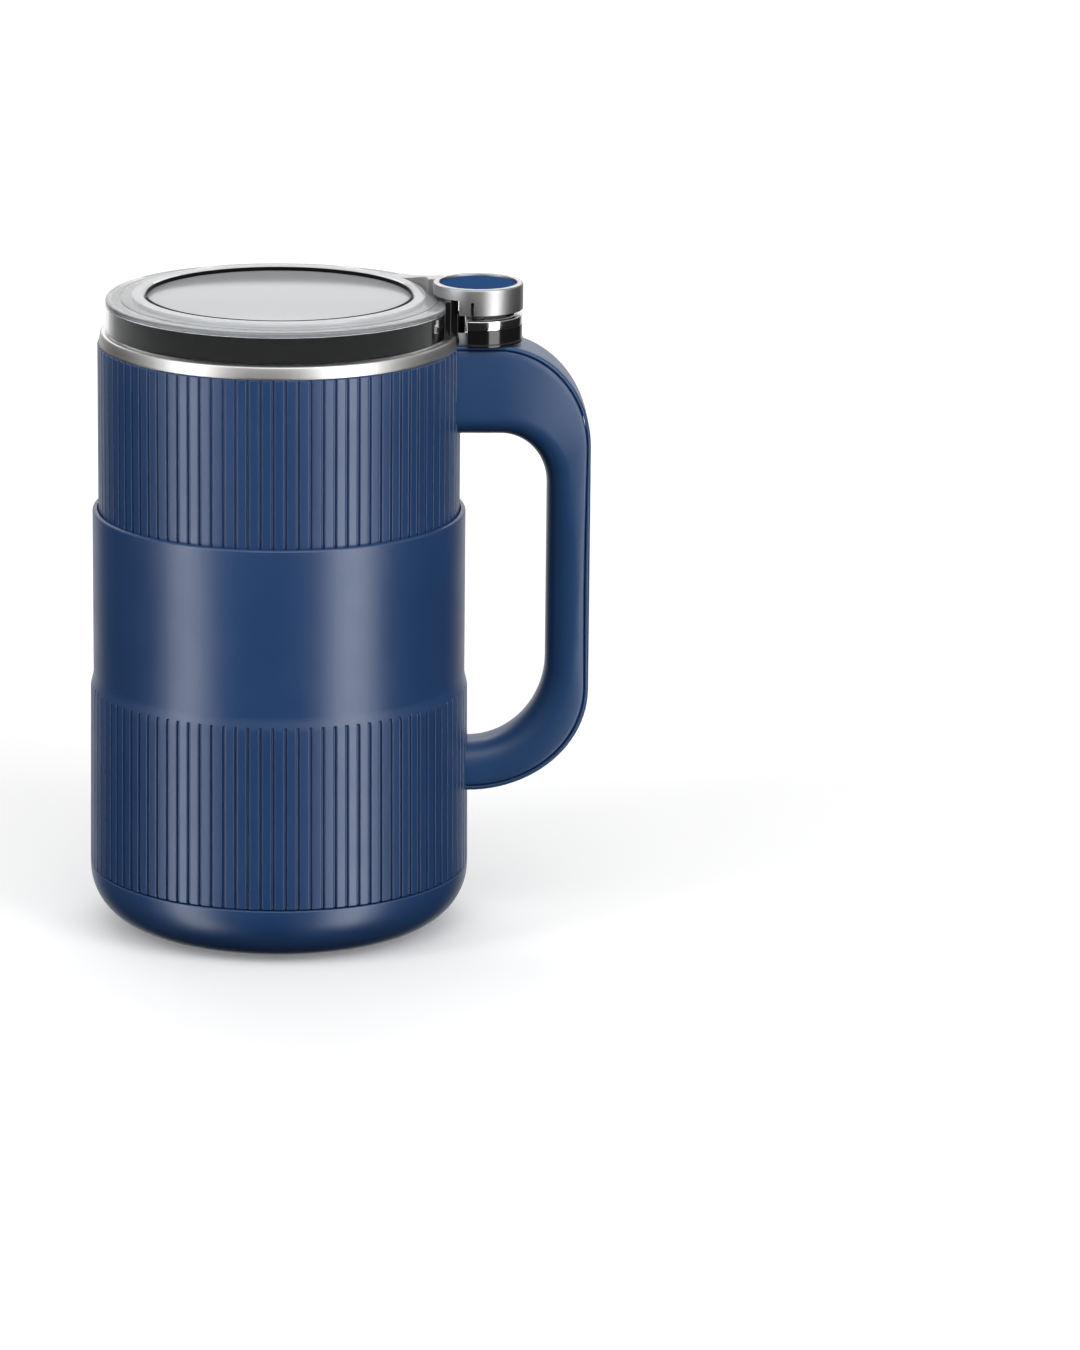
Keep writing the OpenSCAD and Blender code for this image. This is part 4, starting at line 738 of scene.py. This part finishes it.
def makeLidEar():
    e = earSize
    lidTop = side("lid_shell", "z+")
    ramp = {"near": 4, "far": 43, "inner": 50.3, "outer": 57.6, "edge": 0.3, "edgeDeep": 0.25, "steps": 14}
    ring = spunSolid([
        (e["bore"], e["skirt"]), (e["outer"], e["skirt"], 0.25), (e["outer"], e["top"], 0.7),
        (e["bore"], e["top"], 0.35),
    ], 160, e["x"])
    # the ring is cut clear of the lid, but on the ramp's side it rests on the lid's top
    under = discSolid(e["clearRadius"], e["skirt"] - 5, e["clearHeight"])
    farSide = blockSolid((0, 0, lidTop), (90, 60, lidTop + 9))
    turn = Matrix.Rotation(radians(ramp["near"]), 3, "Z")
    bmesh.ops.rotate(farSide, cent=(0, 0, 0), matrix=turn, verts=farSide.verts)
    ring = boolean(ring, boolean(under, farSide))
    slit = blockSolid(
        (e["slitX"], e["slitNear"], e["skirt"] - 1),
        (e["slitX"] + e["slitWidth"], e["slitFar"], e["skirt"] + e["slitTop"]), 0.3,
    )
    ring = boolean(ring, slit)
    # the ramp rises along the lid's rim from its far end to the ring
    slices = []
    for i in range(ramp["steps"] + 1):
        share = i / ramp["steps"]
        angle = radians(ramp["far"] + (ramp["near"] - ramp["far"]) * share)
        crest = lidTop + 0.3 + (e["top"] - lidTop - 0.3) * share * share * (3 - 2 * share)
        shoulder = crest - ramp["edgeDeep"]
        slices.append([
            (r * cos(angle), r * sin(angle), z)
            for r, z in (
                (ramp["inner"], lidTop), (ramp["outer"], lidTop), (ramp["outer"], shoulder),
                (ramp["outer"] - ramp["edge"], crest), (ramp["inner"] + ramp["edge"], crest),
                (ramp["inner"], shoulder),
            )
        ])
    bm = boolean(ring, loft(slices), "UNION")
    bm = boolean(bm, discSolid(e["bore"], e["skirt"] - 5, e["top"] + 5, e["x"]))
    return finishPiece(bm, "lidEar", "lid", earSilver, "lid_ear", 30)


def makeEarBracket():
    p = {
        "ribs": 9, "pitch": 2.7, "width": 1.2, "deep": 4.5, "plate": 2.0, "buttonDeep": 4.4,
        "tabNear": -7.5, "tabFar": -4.5,
    }
    e = earSize
    low, top = side("ear_bracket", "z-"), side("ear_bracket", "z+")
    left, half = side("ear_bracket", "x-"), side("ear_bracket", "y+")
    bm = blockSolid((left, -half, low), (left + p["plate"], half, top), 0.2)
    for i in range(p["ribs"]):
        y = (i - (p["ribs"] - 1) / 2) * p["pitch"]
        near, far = y - p["width"] / 2, y + p["width"] / 2
        bm = boolean(bm, blockSolid((left + 1, near, low), (left + p["deep"], far, top), 0.25), "UNION")
    # a tab closes the gap beside the switch post
    reach, tabTop = postSize["faceX"] - 0.6, e["skirt"] - 0.1
    bm = boolean(bm, blockSolid((left + 3, p["tabNear"], low), (reach, p["tabFar"], tabTop), 0.25), "UNION")
    # the ramp and the button take the room above
    bm = boolean(bm, blockSolid((left - 1, 0, side("lid_shell", "z+")), (left + 9, half + 1, top + 5)))
    bm = boolean(bm, discSolid(e["bore"], side("button_cap", "z+") - p["buttonDeep"], top + 5, e["x"]))
    return finishPiece(bm, "earBracket", "lid", blackGloss, "ear_bracket")


def makeButtonCap():
    p = {"stem": 3.0, "thick": 1.6, "crown": 5.0, "crownDeep": 0.15}
    radius = side("button_cap", "y+")
    low, top = side("button_cap", "z-"), side("button_cap", "z+")
    under = top - p["thick"]
    bm = spunSolid([
        (0, low), (p["stem"], low, 0.3), (p["stem"], under), (radius, under),
        (radius, top - p["crownDeep"], 0.35), (radius - p["crown"], top), (0, top - 0.1),
    ], 128, earSize["x"])
    return finishPiece(bm, "buttonCap", "button", buttonBlue, "button_cap")


def postTrim(bm):
    # the side towards the lid is cut round and flat
    under, over = 190, 230
    bm = boolean(bm, discSolid(postSize["clear"], under, over))
    return boolean(bm, blockSolid((30, -30, under), (postSize["faceX"], 30, over)))


def makeSwitchPost():
    s, x = postSize, earSize["x"]
    low, top = side("switch_post", "z-"), side("switch_post", "z+")
    roof = top - s["roof"]
    collar, collarTop = s["outer"] + s["collar"], low + s["collarTall"]
    bm = spunSolid([
        (s["inner"], low), (collar, low, 0.2), (collar, collarTop, 0.2),
        (s["outer"], collarTop + s["collar"]), (s["outer"], top),
        (s["hole"], top), (s["hole"], roof), (s["inner"], roof),
    ], 128, x)
    return finishPiece(postTrim(bm), "switchPost", "root", blackGloss, "switch_post")


def makePostRing():
    s, x = postSize, earSize["x"]
    low, top = side("post_ring", "z-"), side("post_ring", "z+")
    bm = spunSolid([
        (s["inner"], low), (s["outer"], low, 0.3), (s["outer"], top, 0.4), (s["inner"], top, 0.3),
    ], 128, x)
    return finishPiece(postTrim(bm), "postRing", "root", brightChrome, "post_ring")


makeLidEar()
makeEarBracket()
makeButtonCap()
makeSwitchPost()
makePostRing()
print("ear, button and post made")


# Handle

handleSize = {
    "top": side("handle_cover", "z+"), "low": side("handle_cover", "z-"), "out": side("handle_cover", "x+"),
    "topWidth": side("handle_cover", "y+") * 2, "gripWidth": 22.0, "lowWidth": 22.0,
    "grip": 14.5, "topArm": 31.5, "lowArm": 16.5,
    "inTurn": (16, 18), "outTurn": (32, 35.5), "lowIn": 28.7, "lowOut": 35.5,
    "topRound": 8.5, "gripRound": 10.5, "lowRound": 9.0, "draft": 0.13,
    "cover": 1.6, "coverRound": 1.1, "seamHalf": 0.15,
    "topRoot": 61.1, "lowRoot": 64.5, "sunk": 0.35, "topRun": 4, "lowRun": 6,
}


def mix(a, b, t):
    return a + (b - a) * t


def handleEdge(t, outer):
    # t runs 0..1 along the top arm, 1..2 round the bend, 2..3 down the grip, 3..4 round to the lower root
    h = handleSize
    x = h["out"] if outer else h["out"] - h["grip"]
    high = h["top"] if outer else h["top"] - h["topArm"]
    low = h["low"] if outer else h["low"] + h["lowArm"]
    turnX, turnZ = h["outTurn"] if outer else h["inTurn"]
    lowX, lowZ = x - h["lowRoot"], (h["lowOut"] if outer else h["lowIn"])
    if t <= 1:
        return mix(h["topRoot"] - h["topRun"], x - turnX, t), high
    if t <= 2:
        a = radians(90 * (t - 1))
        return x - turnX * (1 - sin(a)), high - turnZ * (1 - cos(a))
    if t <= 3:
        return x, mix(high - turnZ, low + lowZ, t - 2)
    a = radians(90 * (min(t, 4) - 3))
    return x - lowX * (1 - cos(a)) - h["lowRun"] * max(0, t - 4), low + lowZ * (1 - sin(a))


def handleRing(t, section):
    # section holds (across, depth from the outer edge); roots end on the housings' own curves
    h = handleSize
    ox, oz = handleEdge(t, True)
    ix, iz = handleEdge(t, False)
    run = Vector((ix - ox, iz - oz)).normalized()
    ring = []
    for across, depth in section:
        x, z = ox + run.x * depth, oz + run.y * depth
        if t <= 0:
            x = sqrt((h["topRoot"] - h["sunk"]) ** 2 - across ** 2)
        if t >= 4.5:
            x = sqrt((h["lowRoot"] - h["sunk"]) ** 2 - across ** 2)
        ring.append((x, across, z))
    return ring


def handleHalf(t):
    h = handleSize
    if t <= 2:
        u = max(t - 1, 0)
        return mix(h["topWidth"], h["gripWidth"], u * u * (3 - 2 * u)) / 2
    return mix(h["gripWidth"], h["lowWidth"], min(max(t - 3, 0), 1)) / 2


def handleShape(t):
    # depth, rounding of the inner side, and half width at the seam, where the drafted sides are narrowest
    h = handleSize
    ox, oz = handleEdge(t, True)
    ix, iz = handleEdge(t, False)
    depth = hypot(ix - ox, iz - oz)
    if t <= 2:
        rounding = mix(h["topRound"], h["gripRound"], max(t - 1, 0))
    else:
        rounding = mix(h["gripRound"], h["lowRound"], min(max(t - 3, 0), 1))
    return depth, rounding, handleHalf(t) - h["draft"] * (depth - rounding)


def frameSection(t):
    depth, rounding, edge = handleShape(t)
    half = handleHalf(t)
    full = 2 / 2.4  # a little squarer than an ellipse
    steps = 28
    curve = []
    for i in range(steps + 1):
        c, s = cos(radians(180 * i / steps)), sin(radians(180 * i / steps))
        across = half * abs(c) ** full * (1 if c > 0 else -1)
        curve.append((across, depth - rounding + rounding * abs(s) ** full))
    seam = handleSize["cover"] + handleSize["seamHalf"]
    right = [(edge - 1.4, seam), (edge - 0.55, seam), (edge - 0.18, seam + 0.2), (edge, seam + 0.55)]
    right.append((mix(edge, half, 0.1), mix(seam, depth - rounding, 0.1) + 0.5))
    left = [(-x, y) for x, y in reversed(right)]
    return curve + left + right


def coverSection(t):
    half = handleShape(t)[2]
    thick = handleSize["cover"] - handleSize["seamHalf"]
    rounding, steps = handleSize["coverRound"], 5
    angles = [radians(90 * i / steps) for i in range(steps + 1)]
    edge = [(half - rounding + rounding * cos(a), rounding - rounding * sin(a)) for a in angles]
    right = [(half - 0.4, thick), (half - 0.1, thick - 0.12)] + edge + [(half * 0.5, 0)]
    return right + [(-x, y) for x, y in reversed(right)]


handleStations = (
    [0, 0.25, 0.5, 0.75] + [1 + i / 24 for i in range(25)] + [2.2, 2.4, 2.6, 2.8]
    + [3 + i / 24 for i in range(25)] + [4.5]
)


def makeHandlePiece(name, section, node):
    bm = loft([handleRing(t, section(t)) for t in handleStations])
    return finishPiece(bm, name, "root", handleBlueWithPaintedHighlight, node, 50)


handleFrame = makeHandlePiece("handleFrame", frameSection, "handle_frame")
makeHandlePiece("handleCover", coverSection, "handle_cover")
print("handle made")


# Mains inlet

def makeMainsInlet():
    p = {
        "flange": 2.6, "corner": 2.5, "edge": 0.4, "insetX": 2.5, "insetZ": 2.0,
        "socketDeep": 12.5, "socketHalf": 9.1, "socketTall": 8.6, "socketRound": 4.2,
    }
    low = [side("mains_inlet", w) for w in ("x-", "y-", "z-")]
    high = [side("mains_inlet", w) for w in ("x+", "y+", "z+")]
    middle = (low[2] + high[2]) / 2
    plate = blockSolid((low[0], high[1] - p["flange"], low[2]), high)
    bevelEdges(plate, edgesAlong(plate, "y"), p["corner"], 6)
    bevelEdges(plate, [e for e in plate.edges if min(v.co.y for v in e.verts) > high[1] - 0.01], p["edge"])
    body = blockSolid(
        (low[0] + p["insetX"], low[1], low[2] + p["insetZ"]),
        (high[0] - p["insetX"], high[1] - 1, high[2] - p["insetZ"]), 0.5,
    )
    bm = boolean(plate, body, "UNION")
    socket = blockSolid(
        (-p["socketHalf"], high[1] - p["socketDeep"], middle - p["socketTall"] / 2),
        (p["socketHalf"], high[1] + 5, middle + p["socketTall"] / 2),
    )
    bevelEdges(socket, edgesAlong(socket, "y"), p["socketRound"], 8)
    bm = boolean(bm, socket)
    return finishPiece(bm, "mainsInlet", "root", blackSatin, "mains_inlet")


makeMainsInlet()
print("mains inlet made")


# Pieces that keep their own shape

finishes = {
    "cup_gasket": sealBlack, "shaft_seal": sealBlack, "motor_dampers": footBlack,
    "cup_screws": bladeSteel, "motor_shaft": bladeSteel,
    "blade_spacer": bladeSteel, "blade_washer": bladeSteel,
    "base_screws": zincPlate, "motor_mount_screws": zincPlate, "motor_bolts": zincPlate,
    "handle_screws": zincPlate,
    "motor_plate": blackSatin, "post_plate": blackSatin, "ear_floor": blackSatin, "micro_switch": blackSatin,
    "motor_bracket_top": castAlloy, "motor_bracket_bottom": castAlloy,
    "stator_core": laminations, "armature_core": laminations,
    "field_coils": copperWire, "armature_windings": copperWire, "commutator": copperWire,
    "brush_holders": brassSheet, "inlet_pins": brassSheet, "carbon_brushes": carbonBlock,
    "bearing_outer_rings": bearingSteel, "bearing_inner_rings": bearingSteel, "bearing_balls": bearingSteel,
    "brush_springs": bearingSteel, "button_spring": bearingSteel, "button_clip": bearingSteel,
    "thermal_cutout": filmYellow, "capacitor": filmYellow, "control_board": boardGreen,
    "mains_leads": leadBrown, "switch_leads": leadBrown,
    "cooling_fan": nylonNatural, "switch_pin": nylonNatural,
}
for node, material in finishes.items():
    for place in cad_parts[node].material_slots:
        place.material = material
print("finishes set on", len(finishes), "nodes")


# Floor, light and camera

def makeFloor():
    # matt paper sweep, pale enough to read as white to the eye; it glows more where the lamps fade
    p = {"reach": 6000, "near": 300, "nearGlow": 0.14, "far": 2000, "farGlow": 0.7}
    bm = bmesh.new()
    bmesh.ops.create_grid(bm, x_segments=1, y_segments=1, size=p["reach"] * metre)
    mesh = bpy.data.meshes.new("floor")
    bm.to_mesh(mesh)
    bm.free()
    floor = bpy.data.objects.new("floor", mesh)
    bpy.context.scene.collection.objects.link(floor)
    material, tree, shader, place = startMaterial(
        "paper white floor", "#f4f4f4", {"Roughness": 0.9, "Specular IOR Level": 0.0}
    )
    path = addNode(tree, "ShaderNodeLightPath")
    seen = addNode(
        tree, "ShaderNodeMath", {"operation": "MAXIMUM"},
        {0: path.outputs["Is Camera Ray"], 1: path.outputs["Is Transmission Ray"]},
    )
    away = addNode(tree, "ShaderNodeVectorMath", {"operation": "LENGTH"}, {0: place})
    far = addNode(
        tree,
        "ShaderNodeMapRange",
        {
            "From Min": p["near"] * metre, "From Max": p["far"] * metre,
            "To Min": p["nearGlow"], "To Max": p["farGlow"],
        },
        {"Value": away.outputs["Value"]},
    )
    glow = addNode(
        tree, "ShaderNodeMath", {"operation": "MULTIPLY"},
        {0: seen.outputs["Value"], 1: far.outputs["Result"]},
    )
    shader.inputs["Emission Color"].default_value = (1, 1, 1, 1)
    tree.links.new(glow.outputs["Value"], shader.inputs["Emission Strength"])
    mesh.materials.append(material)
    floor.visible_glossy = False
    floor.visible_diffuse = False


def makeWorld():
    # lights from behind and from above; plain white to the eye and through the clear lid
    world = bpy.data.worlds.new("studio")
    world.use_nodes = True
    bpy.context.scene.world = world
    tree = world.node_tree
    back = tree.nodes["Background"]
    path = addNode(tree, "ShaderNodeLightPath")
    place = addNode(tree, "ShaderNodeTexCoord").outputs["Generated"]
    split = addNode(tree, "ShaderNodeSeparateXYZ", {}, {"Vector": place})
    levels = [path.outputs["Is Transmission Ray"]]
    for axis, start, end, dim, bright in (("Y", 0.68, 0.95, 0.0, 1.0), ("Z", -0.05, 0.4, 0.02, 0.42)):
        part = addNode(
            tree,
            "ShaderNodeMapRange",
            {
                "interpolation_type": "SMOOTHSTEP",
                "From Min": start, "From Max": end, "To Min": dim, "To Max": bright,
            },
            {"Value": split.outputs[axis]},
        )
        levels.append(part.outputs["Result"])
    most = path.outputs["Is Camera Ray"]
    for level in levels:
        most = addNode(tree, "ShaderNodeMath", {"operation": "MAXIMUM"}, {0: most, 1: level}).outputs["Value"]
    tree.links.new(most, back.inputs["Strength"])
    back.inputs["Color"].default_value = (1, 1, 1, 1)


softboxes = {
    "leftStrip": {"azimuth": -57, "elevation": -3, "away": 900, "width": 340, "tall": 2200, "power": 10},
    "rightStrip": {"azimuth": 44, "elevation": -3, "away": 1100, "width": 520, "tall": 2200, "power": 16.5},
    "topFront": {"azimuth": 5, "elevation": 50, "away": 1300, "width": 1100, "tall": 800, "power": 4.5},
    "topBack": {"azimuth": 180, "elevation": 40, "away": 1500, "width": 1800, "tall": 500, "power": 9},
}
bodyMiddle = 110  # lamps and camera aim at the body's axis at this height


def makeSoftbox(name, skipped=()):
    # azimuth 0 is on the camera's side and grows to its right; skipped pieces get none of its light
    p = softboxes[name]
    a, e = radians(p["azimuth"]), radians(p["elevation"])
    aim = Vector((0, 0, bodyMiddle))
    back = Vector((sin(a) * cos(e), -cos(a) * cos(e), sin(e)))
    lamp = bpy.data.lights.new(name, "AREA")
    lamp.shape = "RECTANGLE"
    lamp.size, lamp.size_y = p["width"] * metre, p["tall"] * metre
    lamp.energy = p["power"]
    box = bpy.data.objects.new(name, lamp)
    turn = back.to_track_quat("Z", "Y").to_matrix().to_4x4()
    box.matrix_world = Matrix.Translation((aim + back * p["away"]) * metre) @ turn
    bpy.context.scene.collection.objects.link(box)
    if skipped:
        apart = bpy.data.collections.new(name + "Skipped")
        for piece in skipped:
            apart.objects.link(piece)
        box.light_linking.receiver_collection = apart
        for entry in apart.collection_objects:
            entry.light_linking.link_state = "EXCLUDE"


def makeCamera():
    # a long lens from 2.26 m, 14 degrees above the worktop; the body stands left of the middle
    c = {
        "distance": 2256, "pitch": 14.33, "roll": 0.6, "aimPixel": (279.2, 605.7),
        "frame": (1080, 1350), "focalPixels": 6632, "sensor": 36,
    }
    pitch = radians(c["pitch"])
    forward = Vector((0, cos(pitch), -sin(pitch)))
    down = Vector((0, -sin(pitch), -cos(pitch)))
    place = Vector((0, 0, bodyMiddle)) - forward * c["distance"]
    look = (
        forward * c["focalPixels"]
        + Vector((1, 0, 0)) * (c["frame"][0] / 2 - c["aimPixel"][0])
        + down * (c["frame"][1] / 2 - c["aimPixel"][1])
    )
    lens = bpy.data.cameras.new("camera")
    lens.sensor_fit = "VERTICAL"
    lens.sensor_height = c["sensor"]
    lens.lens = c["focalPixels"] / c["frame"][1] * c["sensor"]
    lens.clip_end = 100
    camera = bpy.data.objects.new("camera", lens)
    turn = look.to_track_quat("-Z", "Y").to_matrix().to_4x4()
    roll = Matrix.Rotation(radians(c["roll"]), 4, "Z")
    camera.matrix_world = Matrix.Translation(place * metre) @ turn @ roll
    bpy.context.scene.collection.objects.link(camera)
    bpy.context.scene.camera = camera


makeFloor()
makeWorld()
makeCamera()
makeSoftbox("leftStrip", [lidShell, lidSeal, handleFrame])
makeSoftbox("rightStrip", [lidShell, lidSeal])
makeSoftbox("topFront")
makeSoftbox("topBack")
bpy.context.scene.view_settings.view_transform = "Standard"
print("studio made")

bpy.context.view_layer.update()
